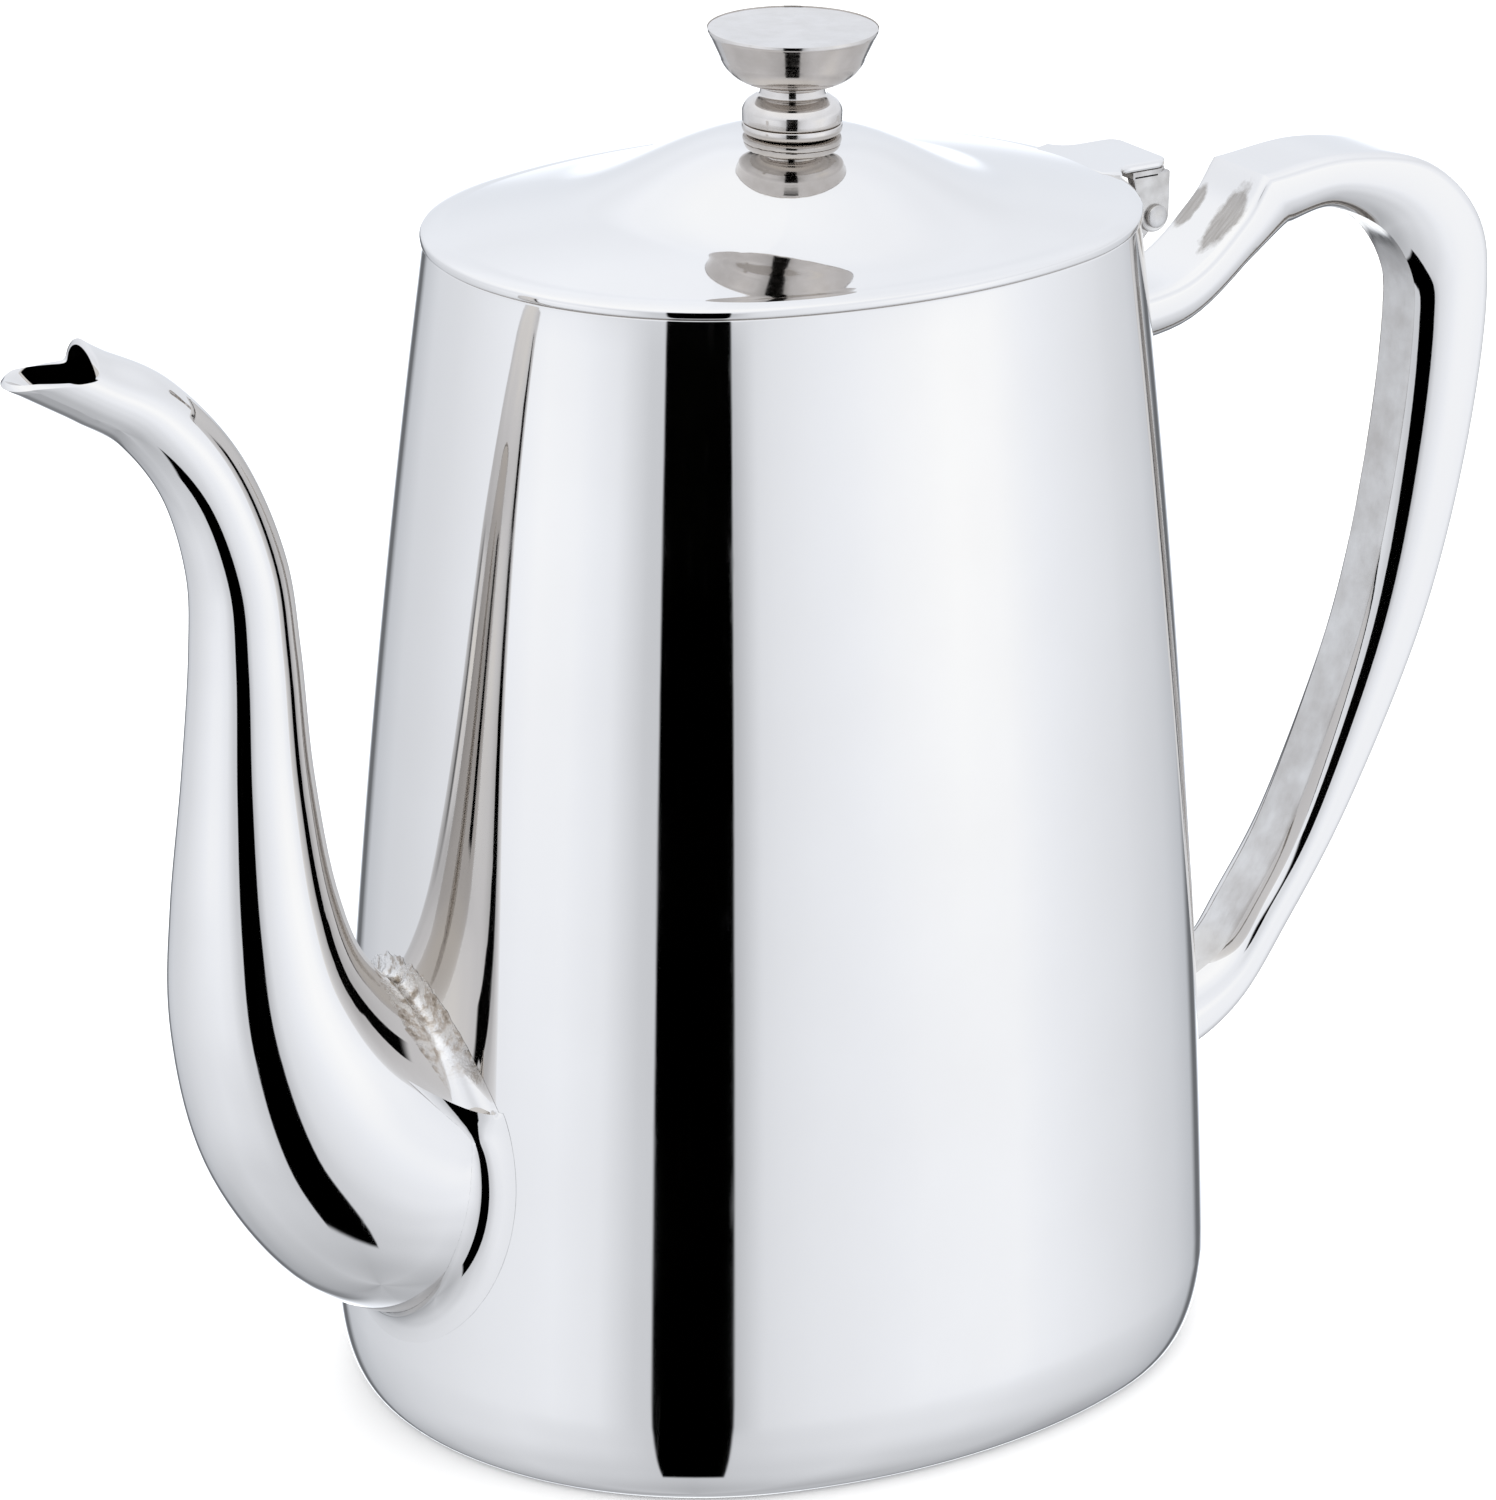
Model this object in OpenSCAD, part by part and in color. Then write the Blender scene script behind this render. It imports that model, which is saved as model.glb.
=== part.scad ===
// Coffee pot with a gooseneck spout: oval tapered body, hinged domed lid with a turned knob,
// pressed spout, hollow strap handle. All parts are sheet or turned stainless steel.
// Origin: centre of the flat base. +Z up, +X towards the handle, the spout points to -X.

/* [Body] */
// Half width of the oval at the body's top edge
mouth_half_w = 36.1; // [30:0.1:44]
// How much longer the oval's half length is than its half width
longer_by = 10.1; // [5:0.1:18]
// How much smaller the radius of the two end arcs is than the half width
side_flat = 2.0; // [1.2:0.1:3]
// Height of the body's top edge above the table
body_h = 150.1; // [125:0.1:185]
// How far the wall has moved out where it meets the base corner
flare = 12.5; // [8:0.1:16]
// Extra swell of the wall at half height
swell = 1.5; // [0.5:0.1:3]
// Thickness of the body's sheet
wall = 0.8; // [0.6:0.1:1.2]
// How far the rounded base corner turns in
corner_in = 3.4; // [2.4:0.1:5]
// Height of the rounded base corner
corner_h = 11.4; // [8:0.1:15]
// Thickness of the base plate
base_t = 1.0; // [0.8:0.1:1.6]
// Height of the stiffening band inside the mouth
band_h = 5.0; // [3:0.1:8]
// Thickness of the stiffening band
band_t = 0.8; // [0.5:0.1:1.2]
// Gap between the body's wall and the pieces that are welded or brazed to it
weld_gap = 0.12; // [0.12:0.01:0.2]

/* [Spout] */
// Height of the middle of the spout's root
root_z = 38.0; // [34:0.1:46]
// How far the spout's lip stands above the body's top edge
lip_above = -2.9; // [-8:0.1:4]
// Thickness of the spout's sheet
spout_wall = 0.8; // [0.6:0.1:1.2]
// Radius of the hole through the body behind the spout
spout_hole_r = 13.0; // [9:0.1:15]
// Length of the open lip in front of the spout's hood
lip_len = 10.6; // [6:0.1:13]
// Width of the brazed fillet on the body
fillet_w = 3.6; // [2:0.1:5]

/* [Handle] */
// Height of the handle's flat top above the body's top edge
top_above = -1.9; // [-6:0.1:6]
// Height of the handle's lower end on the body
foot_z = 28.6; // [24:0.1:40]
// Half width of the handle's flat outer face
outer_half_w = 6.2; // [5:0.1:8]
// Half width of the handle's inner face
inner_half_w = 4.0; // [3:0.1:4.6]
// Thickness of the handle's sheet
handle_wall = 1.0; // [0.8:0.1:1.4]
// Width of the weld beads round the handle's ends
bead = 1.2; // [0.8:0.1:2]

/* [Lid] */
// How far the lid's edge stands out beyond the body
lid_lap = 0.35; // [0.2:0.05:1]
// Gap between the closed lid and the body's top edge
lid_gap = 0.05; // [0.02:0.01:0.2]
// Thickness of the lid's folded edge
lid_edge_t = 1.1; // [0.9:0.1:1.6]
// Width of the lid's folded edge
lid_edge_w = 2.0; // [1.2:0.1:3]
// Thickness of the lid's sheet
lid_wall = 0.8; // [0.6:0.1:1.1]
// Rise of the lid's overall crown
lid_crown = 5.4; // [3:0.1:8]
// Extra rise of the dome inside the brim
dome_step = 5.0; // [3:0.1:8]
// Share of the way in from the lid's edge to its flat top that is brim
brim_share = 0.465; // [0.3:0.005:0.5]
// Share of that way that is the slope between brim and dome
slope_share = 0.465; // [0.3:0.005:0.5]
// Depth of the locating skirt below the lid
skirt_h = 3.0; // [2:0.1:4]
// Thickness of the skirt
skirt_t = 0.8; // [0.6:0.1:1.2]
// Play between the skirt and the mouth's band
skirt_play = 1.4; // [1.2:0.1:2]

/* [Hinge] */
// Distance of the hinge pin behind the body's top edge
pin_out = 6.3; // [5.5:0.1:8]
// Depth of the hinge pin below the body's top edge
pin_drop = 5.4; // [4.5:0.1:7]
// Radius of the hinge pin
pin_r = 1.2; // [0.9:0.05:1.5]
// Running clearance between the pin and the knuckle's bore
pin_play = 0.05; // [0.02:0.01:0.09]
// Radius of the rounded ends of the hinge pieces
knuckle_r = 2.2; // [1.9:0.1:2.6]
// Half width of the lid's tongue and hinge leaf
tongue_half_w = 6.0; // [5:0.1:8]
// Thickness of the hinge leaf's plate
leaf_t = 1.0; // [0.8:0.1:1.4]
// Thickness of each cheek of the hinge leaf
cheek_t = 1.6; // [1.2:0.1:2]
// Distance from the pin to where the lid's skirt is cut away
skirt_cut = 14.5; // [13:0.1:20]
// Side play between knuckle and cheeks
side_play = 0.15; // [0.1:0.05:0.3]
// Thickness of the pin's peened heads
head_t = 0.8; // [0.5:0.1:1.2]

/* [Knob] */
// Distance of the knob from the body's middle, towards the handle
knob_x = 1.0; // [0:0.1:3]
// Radius of the knob's flat top
knob_r = 10.5; // [8:0.1:13]
// Height of the knob above its ring
knob_h = 11.6; // [10:0.1:15]
// Radius of the knob's collar and ring
collar_r = 6.2; // [5.2:0.1:7]
// Thickness of the ring between knob and lid
ring_t = 1.6; // [1.2:0.1:3]
// Radius of the screw that holds the knob
screw_r = 2.0; // [1.5:0.1:2.5]
// Length of thread inside the knob
thread_in = 6.0; // [4:0.1:8]
// Gap between the screw and the holes that it passes through
screw_play = 0.2; // [0.1:0.05:0.4]
// Radius of the screw's head
head_r = 4.0; // [3:0.1:4.5]
// Height of the screw's head
head_h = 2.6; // [2:0.1:3.2]
// Radius of the flat washer under the lid
washer_r = 5.0; // [4:0.1:6]
// Thickness of the flat washer
washer_t = 1.0; // [0.6:0.1:1.4]
// Thickness of the spring washer
spring_t = 1.1; // [0.8:0.1:1.5]

/* [Hidden] */
$fn = 64;
bright = [0.86, 0.87, 0.88];
satin = [0.70, 0.71, 0.72];
solder = [0.78, 0.78, 0.76];

// The oval is four arcs: two end arcs centred on the X axis and two flatter side arcs centred
// on the Y axis. Moving the oval in or out changes only the arcs' radii, never their centres.
mouth_half_l = mouth_half_w + longer_by;
end_r = mouth_half_w - side_flat;
end_cx = mouth_half_l - end_r;
side_cy = (end_cx * end_cx - side_flat * side_flat) / (2 * side_flat);
side_r = mouth_half_w + side_cy;
joint_a = atan2(side_cy, end_cx);

// Distance of the body's outer wall beyond the mouth oval, at height z
wall_steps = 10;
corner_steps = 6;
function wall_off(s) = flare * s + swell * 4 * s * (1 - s);
function wall_z(i) = i == 0 ? body_h : i == 1 ? body_h - band_h
    : body_h - band_h - (body_h - band_h - corner_h) * (i - 1) / (wall_steps - 1);
function wall_s(z) = (body_h - z) / (body_h - corner_h);
function corner_off(z) = flare - corner_in * (1 - sqrt(1 - pow((corner_h - z) / corner_h, 2)));
function body_off(z) = z >= corner_h ? wall_off(wall_s(z)) : corner_off(z);
// Distance from the body's middle to its wall, along X, at height z and width y
function end_x(y, z) = end_cx + sqrt(pow(end_r + body_off(z), 2) - y * y);
// Where a piece that is joined to the wall ends
function seat_x(y, z) = end_x(y, z) + weld_gap;

base_off = flare - corner_in;
lid_z = body_h + lid_gap + lid_edge_t;

// A solid oval. Its side outline runs from top to bottom as [distance beyond the mouth oval,
// height], and the solid is filled in to its middle.
module oval_solid(outline) {
    overlap = 1;
    top = outline[0][1];
    low = outline[len(outline) - 1][1];
    for (turn = [0, 180]) rotate([0, 0, turn]) {
        translate([end_cx, 0, 0]) rotate_extrude()
            polygon(concat([[0, top]], [for (p = outline) [end_r + p[0], p[1]]], [[0, low]]));
        translate([0, -side_cy, 0]) rotate_extrude(angle = 180 - 2 * joint_a, start = joint_a)
            polygon(concat([[side_cy - overlap, top]], [for (p = outline) [side_r + p[0], p[1]]],
                [[side_cy - overlap, low]]));
    }
}

// Smooth curve through control points; each point is a list of equal length
function cr(a, b, c, d, t) = 0.5 * ((2 * b) + (c - a) * t + (2 * a - 5 * b + 4 * c - d) * t * t
    + (3 * b - a - 3 * c + d) * t * t * t);
function ctrl(p, i) = i < 0 ? 2 * p[0] - p[1] : i >= len(p) ? 2 * p[len(p) - 1] - p[len(p) - 2]
    : p[i];
function along(p, u) = let (i = max(0, min(floor(u), len(p) - 2)))
    cr(ctrl(p, i - 1), ctrl(p, i), ctrl(p, i + 1), ctrl(p, i + 2), u - i);
function unit(v) = v / norm(v);
function reverse(p) = [for (i = [len(p) - 1:-1:0]) p[i]];

// Two triangles that fill a four-sided cell
function cell(a, b, c, d) = [[a, b, c], [a, c, d]];
// A solid through rings of equal length, joined end to end as a loop, or closed by an end
// strip. An end strip joins the ring's first half to its second half, point by point.
module skin(rings, loop = false) {
    n = len(rings[0]);
    m = len(rings);
    last = (m - 1) * n;
    sides = [for (i = [0:(loop ? m - 1 : m - 2)], j = [0:n - 1])
        let (a = i * n, b = ((i + 1) % m) * n, k = (j + 1) % n) each cell(a + j, a + k, b + k, b + j)];
    start = [for (j = [0:n / 2 - 2]) each cell(j, n - 1 - j, n - 2 - j, j + 1)];
    finish = [for (j = [0:n / 2 - 2])
        each cell(last + j, last + j + 1, last + n - 2 - j, last + n - 1 - j)];
    polyhedron(points = [for (r = rings) each r],
        faces = loop ? sides : concat(sides, start, finish), convexity = 8);
}

// Body ------------------------------------------------------------------------------------

function wall_points(inset) = [for (i = [0:wall_steps])
    [wall_off(wall_s(wall_z(i))) - inset, wall_z(i)]];
function corner_points(inset, lift) = [for (i = [1:corner_steps]) let (a = 90 * i / corner_steps)
    [base_off + (corner_in - inset) * cos(a), corner_h - (corner_h - lift) * sin(a)]];

module body_shell() {
    inside = concat(wall_points(wall), corner_points(wall, base_t));
    color(bright) difference() {
        oval_solid(concat(wall_points(0), corner_points(0, 0)));
        oval_solid(concat([inside[0] + [0, 1]], inside, [[base_off, -1]]));
        translate([-end_x(0, root_z) - 10, 0, root_z]) rotate([0, 90, 0])
            cylinder(r = spout_hole_r, h = 20);
    }
}

module base_plate() {
    color(satin) oval_solid([[base_off, base_t], [base_off, 0]]);
}

module mouth_band() {
    top = -wall;
    low = wall_off(wall_s(body_h - band_h)) - wall;
    inside = top - band_t;
    color(satin) difference() {
        oval_solid([[top, body_h], [low, body_h - band_h]]);
        oval_solid([[inside, body_h + 1], [inside, body_h], [low - band_t, body_h - band_h],
            [low - band_t, body_h - band_h - 1]]);
    }
}

// Spout -----------------------------------------------------------------------------------

// Path from the root to the lip: [distance out from the body, share of the rise,
// half thickness, half width]
spout_path = [[-6, 0, 23.4, 17.7], [1.8, 0.02, 20.1, 17.2], [10.6, 0.107, 16.9, 14.6],
    [16.4, 0.222, 13.2, 12.4], [18.6, 0.344, 10.4, 10.4], [19.1, 0.498, 8.1, 8.1],
    [19.1, 0.644, 6.8, 6.8], [20, 0.748, 6.1, 6.1], [24.1, 0.855, 5.4, 5.4],
    [31.1, 0.938, 4.9, 4.9], [39, 0.988, 4.8, 4.8]];
spout_x = end_x(0, root_z);
spout_rise = body_h + lip_above - root_z;
spout_ctrl = [for (p = spout_path) [-spout_x - p[0], root_z + p[1] * spout_rise, p[2], p[3]]];
spout_end = len(spout_path) - 1;
spout_n = 30;
ring_n = 12;

// Point on the spout at path position u; angle a is 0 along the inside of the bend
function spout_point(u, a, inset) = let (q = along(spout_ctrl, u),
    d = along(spout_ctrl, u + 0.05) - along(spout_ctrl, u - 0.05), t = unit([d[0], d[1]]))
    [q[0] + (q[2] - inset) * cos(a) * t[1], (q[3] - inset) * sin(a),
        q[1] - (q[2] - inset) * cos(a) * t[0]];
// Path position where the line at angle a leaves the body's wall, between lo and hi
function spout_start(a, inset, lo = 0, hi = 2.8, n = 16) = let (u = (lo + hi) / 2,
    p = spout_point(u, a, inset)) n == 0 ? u
    : -p[0] < seat_x(p[1], p[2]) ? spout_start(a, inset, u, hi, n - 1)
    : spout_start(a, inset, lo, u, n - 1);
function spout_at(i, a, inset) = let (s = spout_start(a, inset))
    spout_point(s + (spout_end - s) * i / spout_n, a, inset);

// The lip: each line runs straight on until it leaves both the hood and the lip's plane
tip_dir = unit(spout_point(spout_end, 90, 0) - spout_point(spout_end - 0.1, 90, 0));
hood_x = spout_ctrl[spout_end][0] - 0.4;
lip_z = body_h + lip_above;
function lip_point(p) = let (q = [p[0], 0, p[2]], d = [tip_dir[0], 0, tip_dir[2]],
    run = max((hood_x - q[0]) / d[0], min((lip_z - q[2]) / d[2], lip_len + 3)))
    p + run * d;

function half_ring(i, side) = concat(
    [for (j = [0:ring_n]) spout_at(i, side * 180 * j / ring_n, 0)],
    [for (j = [ring_n:-1:0]) spout_at(i, side * 180 * j / ring_n, spout_wall)]);
function turned(r, side) = side > 0 ? reverse(r) : r;

module spout_half(side) {
    rings = [for (i = [0:spout_n]) half_ring(i, side)];
    lip = [for (p = rings[spout_n]) lip_point(p)];
    color(bright) skin([for (r = concat(rings, [lip])) turned(r, side)]);
}

module spout_left_half() {
    spout_half(-1);
}

module spout_right_half() {
    spout_half(1);
}

// Point on the wall, out by w from p, away from the middle m of a joint
function wall_beside(p, m, w, end) = let (d = unit([p[1] - m[0], p[2] - m[1]]),
    y = p[1] + w * d[0], z = p[2] + w * d[1]) [end * seat_x(y, z), y, z];
// Section of a fillet between a wall point b, a point a above it, and a point c beside it
function fillet_section(a, b, c) = [b, a, 0.36 * a + 0.28 * b + 0.36 * c, c];

module spout_fillet() {
    steps = 2 * ring_n;
    color(solder) skin([for (j = [steps - 1:-1:0]) let (a = 360 * j / steps, b = spout_at(0, a, 0))
        fillet_section(spout_at(1, a, 0), b, wall_beside(b, [0, root_z], fillet_w, -1))],
        loop = true);
}

// Handle ----------------------------------------------------------------------------------

// Pairs of points on the handle's outer and inner faces, from the neck to the foot:
// [outer distance from the foot's wall, outer share of the rise, inner distance, inner share]
neck_path = [[-14, 0.876, -14, 0.819], [0, 0.892, 1.5, 0.836], [8.6, 0.946, 12.2, 0.896],
    [12.6, 0.992, 18, 0.928]];
grip_path = [[12.6, 0.992, 18, 0.928], [26, 1, 25.5, 0.936], [39.5, 0.975, 34.3, 0.9],
    [48.4, 0.905, 39.2, 0.845], [50.6, 0.815, 40.1, 0.786], [49.2, 0.672, 39, 0.664],
    [45.2, 0.513, 36, 0.513], [39.6, 0.38, 31.6, 0.385], [30.2, 0.221, 23.4, 0.221],
    [21.6, 0.109, 16.8, 0.132], [13.6, 0.022, 11.6, 0.079], [4, -0.022, 3, 0.048],
    [-8, -0.033, -8, 0.035]];
handle_x = end_x(0, foot_z);
handle_rise = body_h + top_above - foot_z;
neck_end = len(neck_path) - 1;
grip_end = len(grip_path) - 1;
neck_n = 9;
grip_n = 32;

// Section of the outer shell as [half width from the middle, height above the inner face],
// with t the handle's thickness there
function shell_edge(t) = let (o = outer_half_w, i = inner_half_w, w = o - i)
    [[i, 0], [i + 0.55 * w, 0.07 * t], [i + 0.88 * w, 0.28 * t], [o, 0.65 * t], [o, t - 0.5],
        [o - 0.5, t], [(o - 0.5) / 3, t]];
function shell_core(t) = let (o = outer_half_w - handle_wall, i = inner_half_w, w = o - i,
    s = min(handle_wall, 0.3 * t))
    [[i, s], [i + 0.3 * w, s + 0.02 * t], [i + 0.8 * w, s + 0.12 * t], [o, 0.65 * t],
        [o, t - handle_wall - 0.3], [o - 0.3, t - handle_wall], [(o - 0.3) / 3, t - handle_wall]];
function both_sides(p) = concat(p, [for (q = reverse(p)) [-q[0], q[1]]]);
// The shell's closed section: up one edge, across, down the other, and back inside
function shell_section(t) = let (e = shell_edge(t), c = shell_core(t))
    concat(both_sides(e), [for (q = c) [-q[0], q[1]]], reverse(c));
function strip_section(t) = let (i = inner_half_w, s = min(handle_wall, 0.3 * t))
    concat(both_sides([[i, s], [i / 3, s]]), [[-i, 0], [-i / 3, 0], [i / 3, 0], [i, 0]]);
function rim_section(t) = both_sides(concat([[inner_half_w / 3, 0]], shell_edge(t)));
function section(kind, t) = kind == "shell" ? shell_section(t)
    : kind == "strip" ? strip_section(t) : rim_section(t);

// Point k of the section at position u of a path, in the pot's frame
function handle_point(path, u, kind, k) = let (q = along(path, u),
    o = [handle_x + q[0], foot_z + q[1] * handle_rise],
    i = [handle_x + q[2], foot_z + q[3] * handle_rise],
    t = norm(o - i), e = (o - i) / t, s = section(kind, t)[k])
    [i[0] + e[0] * s[1], s[0], i[1] + e[1] * s[1]];
// Path position where line k crosses the body's wall, between lo (in the wall) and hi (free)
function cross(path, kind, k, lo, hi, n = 16) = let (u = (lo + hi) / 2,
    p = handle_point(path, u, kind, k)) n == 0 ? u
    : p[0] < seat_x(p[1], p[2]) ? cross(path, kind, k, u, hi, n - 1)
    : cross(path, kind, k, lo, u, n - 1);
function neck_ring(kind, i) = [for (k = [0:len(section(kind, 1)) - 1])
    let (s = cross(neck_path, kind, k, 0, 1.4))
    handle_point(neck_path, s + (neck_end - s) * i / neck_n, kind, k)];
function grip_ring(kind, i) = [for (k = [0:len(section(kind, 1)) - 1])
    let (s = cross(grip_path, kind, k, grip_end, grip_end - 2.2))
    handle_point(grip_path, s * i / grip_n, kind, k)];
function handle_rings(kind) = concat([for (i = [0:neck_n]) neck_ring(kind, i)],
    [for (i = [1:grip_n]) grip_ring(kind, i)]);

module handle_outer_shell() {
    color(bright) skin(reverse(handle_rings("shell")));
}

module handle_inner_shell() {
    color(bright) skin(reverse(handle_rings("strip")));
}

// A weld bead round a joint, from the ring on the wall and the next ring along the handle
module weld_bead(on_wall, next) {
    n = len(on_wall);
    m = [0, (max([for (p = on_wall) p[2]]) + min([for (p = on_wall) p[2]])) / 2];
    color(solder) skin([for (k = [0:n - 1]) let (b = on_wall[k])
        fillet_section(b + bead * unit(next[k] - b), b, wall_beside(b, m, bead, 1))], loop = true);
}

module handle_upper_bead() {
    weld_bead(reverse(neck_ring("rim", 0)), reverse(neck_ring("rim", 1)));
}

module handle_lower_bead() {
    weld_bead(grip_ring("rim", grip_n), grip_ring("rim", grip_n - 1));
}

// Hinge -----------------------------------------------------------------------------------

pin_x = mouth_half_l + pin_out;
pin_z = body_h - pin_drop;
cheek_in = tongue_half_w - cheek_t;
leaf_top = body_h + lid_gap;
leaf_end = pin_x + knuckle_r;
leaf_start = mouth_half_l + 2.6;

module across(x, z, r, half) {
    translate([x, half, z]) rotate([90, 0, 0]) cylinder(r = r, h = 2 * half);
}

// The part of the body's end that the bracket is cut to fit
module end_block() {
    translate([end_cx, 0, 0]) rotate_extrude()
        polygon(concat([[0, body_h]], [for (i = [0:3]) [end_r + wall_off(wall_s(wall_z(i))),
            wall_z(i)]], [[0, wall_z(3)]]));
}

module hinge_bracket() {
    half = cheek_in - side_play;
    low = pin_z - 8;
    color(solder) difference() {
        union() {
            across(pin_x, pin_z, knuckle_r, half);
            translate([0, half, 0]) rotate([90, 0, 0]) linear_extrude(2 * half)
                polygon([[mouth_half_l - 2, low], [mouth_half_l + 1.9, low],
                    [pin_x + 0.5 * knuckle_r, pin_z - 0.86 * knuckle_r],
                    [pin_x - 0.5 * knuckle_r, pin_z + 0.86 * knuckle_r],
                    [mouth_half_l - 2, pin_z + 0.5]]);
        }
        end_block();
        across(pin_x, pin_z, pin_r + pin_play, half + 1);
    }
}

module hinge_pin() {
    color(solder) union() {
        across(pin_x, pin_z, pin_r, tongue_half_w);
        for (s = [-1, 1]) translate([pin_x, s * (tongue_half_w + head_t / 2), pin_z])
            rotate([90, 0, 0]) cylinder(r = pin_r + 0.3, h = head_t, center = true);
    }
}

module lid_hinge_leaf() {
    color(solder) difference() {
        union() {
            translate([leaf_start, -tongue_half_w, leaf_top - leaf_t])
                cube([leaf_end - leaf_start, 2 * tongue_half_w, leaf_t]);
            for (s = [-1, 1]) translate([0, s > 0 ? tongue_half_w : -cheek_in, 0])
                rotate([90, 0, 0]) linear_extrude(cheek_t) union() {
                    translate([pin_x, pin_z]) circle(r = knuckle_r);
                    polygon([[leaf_start, leaf_top - leaf_t / 2], [leaf_end, leaf_top - leaf_t / 2],
                        [leaf_end, pin_z], [pin_x - 0.94 * knuckle_r, pin_z - 0.33 * knuckle_r]]);
                }
        }
        across(pin_x, pin_z, pin_r, tongue_half_w + 1);
    }
}

// Lid -------------------------------------------------------------------------------------

function ease(t) = t <= 0 ? 0 : t >= 1 ? 1 : t * t * (3 - 2 * t);
flat_in = end_r + lid_lap - collar_r - 0.25;
crown_in = 1.18 * flat_in;
brim_w = brim_share * flat_in;
slope_w = slope_share * flat_in;
// Height of the lid's upper face above its edge, q in from the edge
function lid_rise(q) = lid_crown * (1 - pow(1 - q / crown_in, 2))
    + dome_step * ease((q - brim_w) / slope_w);
dome_top = lid_z + lid_rise(flat_in);
lid_steps = 14;
tongue_r = 2;
tongue_fillet = 3;
hole_r = screw_r + screw_play;

function lid_face(q, lift) = [lid_lap - q, lid_z + lid_rise(q) - lift];

// The flat tongue that carries the lid's edge out over the hinge
module tongue() {
    w = tongue_half_w;
    f = tongue_fillet;
    edge_r = end_r + lid_lap;
    root_x = end_cx + sqrt(pow(edge_r + f, 2) - pow(w + f, 2));
    share = edge_r / (edge_r + f);
    touch = [end_cx + (root_x - end_cx) * share, (w + f) * share];
    back_x = mouth_half_l - lid_edge_w;
    far_x = leaf_end - tongue_r;
    translate([0, 0, leaf_top]) linear_extrude(lid_edge_t) difference() {
        union() {
            translate([back_x, -w]) square([far_x - back_x, 2 * w]);
            translate([far_x, tongue_r - w]) square([tongue_r, 2 * (w - tongue_r)]);
            for (s = [-1, 1]) {
                translate([far_x, s * (w - tongue_r)]) circle(r = tongue_r);
                polygon([[touch[0] - lid_edge_w, 0], [touch[0] - lid_edge_w / 2, s * touch[1]],
                    [touch[0], s * touch[1]], [root_x, s * (w + f)], [root_x, 0]]);
            }
        }
        for (s = [-1, 1]) translate([root_x, s * (w + f)]) circle(r = f);
    }
}

module lid_shell() {
    upper = [for (i = [lid_steps:-1:0]) lid_face(flat_in * i / lid_steps, 0)];
    lower = [for (i = [lid_steps:-1:1]) lid_face(flat_in * i / lid_steps, lid_wall)];
    inner_edge = lid_lap - lid_edge_w;
    color(bright) difference() {
        union() {
            oval_solid(concat(upper, [[lid_lap, leaf_top]]));
            tongue();
        }
        oval_solid(concat(lower, [[inner_edge, leaf_top], [inner_edge, leaf_top - 1]]));
        translate([knob_x, 0, dome_top - 2]) cylinder(r = hole_r, h = 4);
    }
}

module lid_skirt() {
    out = -wall - band_t - skirt_play;
    inside = out - skirt_t;
    low = body_h - skirt_h;
    under = [for (off = [inside - 2, inside, out]) lid_face(lid_lap - off, lid_wall)];
    color(satin) difference() {
        oval_solid(concat(under, [[out, low]]));
        oval_solid([[inside, lid_z + lid_crown], [inside, low - 1]]);
        translate([pin_x - skirt_cut, -mouth_half_w, low - 1])
            cube([skirt_cut, 2 * mouth_half_w, skirt_h + 4]);
    }
}

// Knob ------------------------------------------------------------------------------------

ring_z = dome_top;
knob_z = ring_z + ring_t;
washer_z = dome_top - lid_wall - washer_t;
spring_z = washer_z - spring_t;
neck_r = 3.9;
neck_z = 4.3;
bowl_x = neck_r + 0.3;
bowl_z = neck_z + 0.5;
bowl_drop = 4.5;
bowl_lean = 1.3;
bowl_a = 78;
edge = 0.25;

module at_knob(z) {
    translate([knob_x, 0, z]) children();
}

module knob() {
    bowl_w = knob_r - bowl_lean - bowl_x;
    collar = [[0, 0], [collar_r - edge, 0], [collar_r, edge], [collar_r, 1.6],
        [collar_r - 0.5, 2.5], [neck_r + 0.7, 3.2], [neck_r + 0.2, 3.3], [neck_r, neck_z]];
    bowl = [for (a = [0:bowl_a / 6:bowl_a])
        [bowl_x + bowl_w * sin(a), bowl_z + bowl_drop * (1 - cos(a))]];
    top = [[knob_r, knob_h - edge], [knob_r - edge, knob_h], [0, knob_h]];
    color(bright) at_knob(knob_z) difference() {
        rotate_extrude() polygon(concat(collar, bowl, top));
        translate([0, 0, -1]) cylinder(r = screw_r, h = thread_in + 2);
    }
}

module knob_ring() {
    color(bright) at_knob(ring_z) rotate_extrude() polygon([[hole_r, 0], [collar_r - 0.8, 0],
        [collar_r - 0.2, 0.3], [collar_r, 0.7], [collar_r, ring_t - edge], [collar_r - edge, ring_t],
        [hole_r, ring_t]]);
}

module knob_screw() {
    slot_w = 1;
    slot_h = 1.2;
    color(satin) at_knob(spring_z - head_h) difference() {
        rotate_extrude() polygon([[0, 0], [head_r - 1.2, 0.2], [head_r - 0.3, 0.8], [head_r, 1.5],
            [head_r, head_h], [screw_r, head_h], [screw_r, knob_z + thread_in - spring_z + head_h],
            [0, knob_z + thread_in - spring_z + head_h]]);
        translate([-head_r - 1, -slot_w / 2, -1]) cube([2 * head_r + 2, slot_w, slot_h + 1]);
    }
}

module washer(r, t, z) {
    at_knob(z) difference() {
        cylinder(r = r, h = t);
        translate([0, 0, -1]) cylinder(r = hole_r, h = t + 2);
    }
}

module knob_spring_washer() {
    gap = 0.8;
    color(satin) difference() {
        washer(head_r, spring_t, spring_z);
        at_knob(spring_z - 1) translate([0, -gap / 2, 0]) cube([head_r + 1, gap, spring_t + 2]);
    }
}

module knob_flat_washer() {
    color(satin) washer(washer_r, washer_t, washer_z);
}

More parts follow.
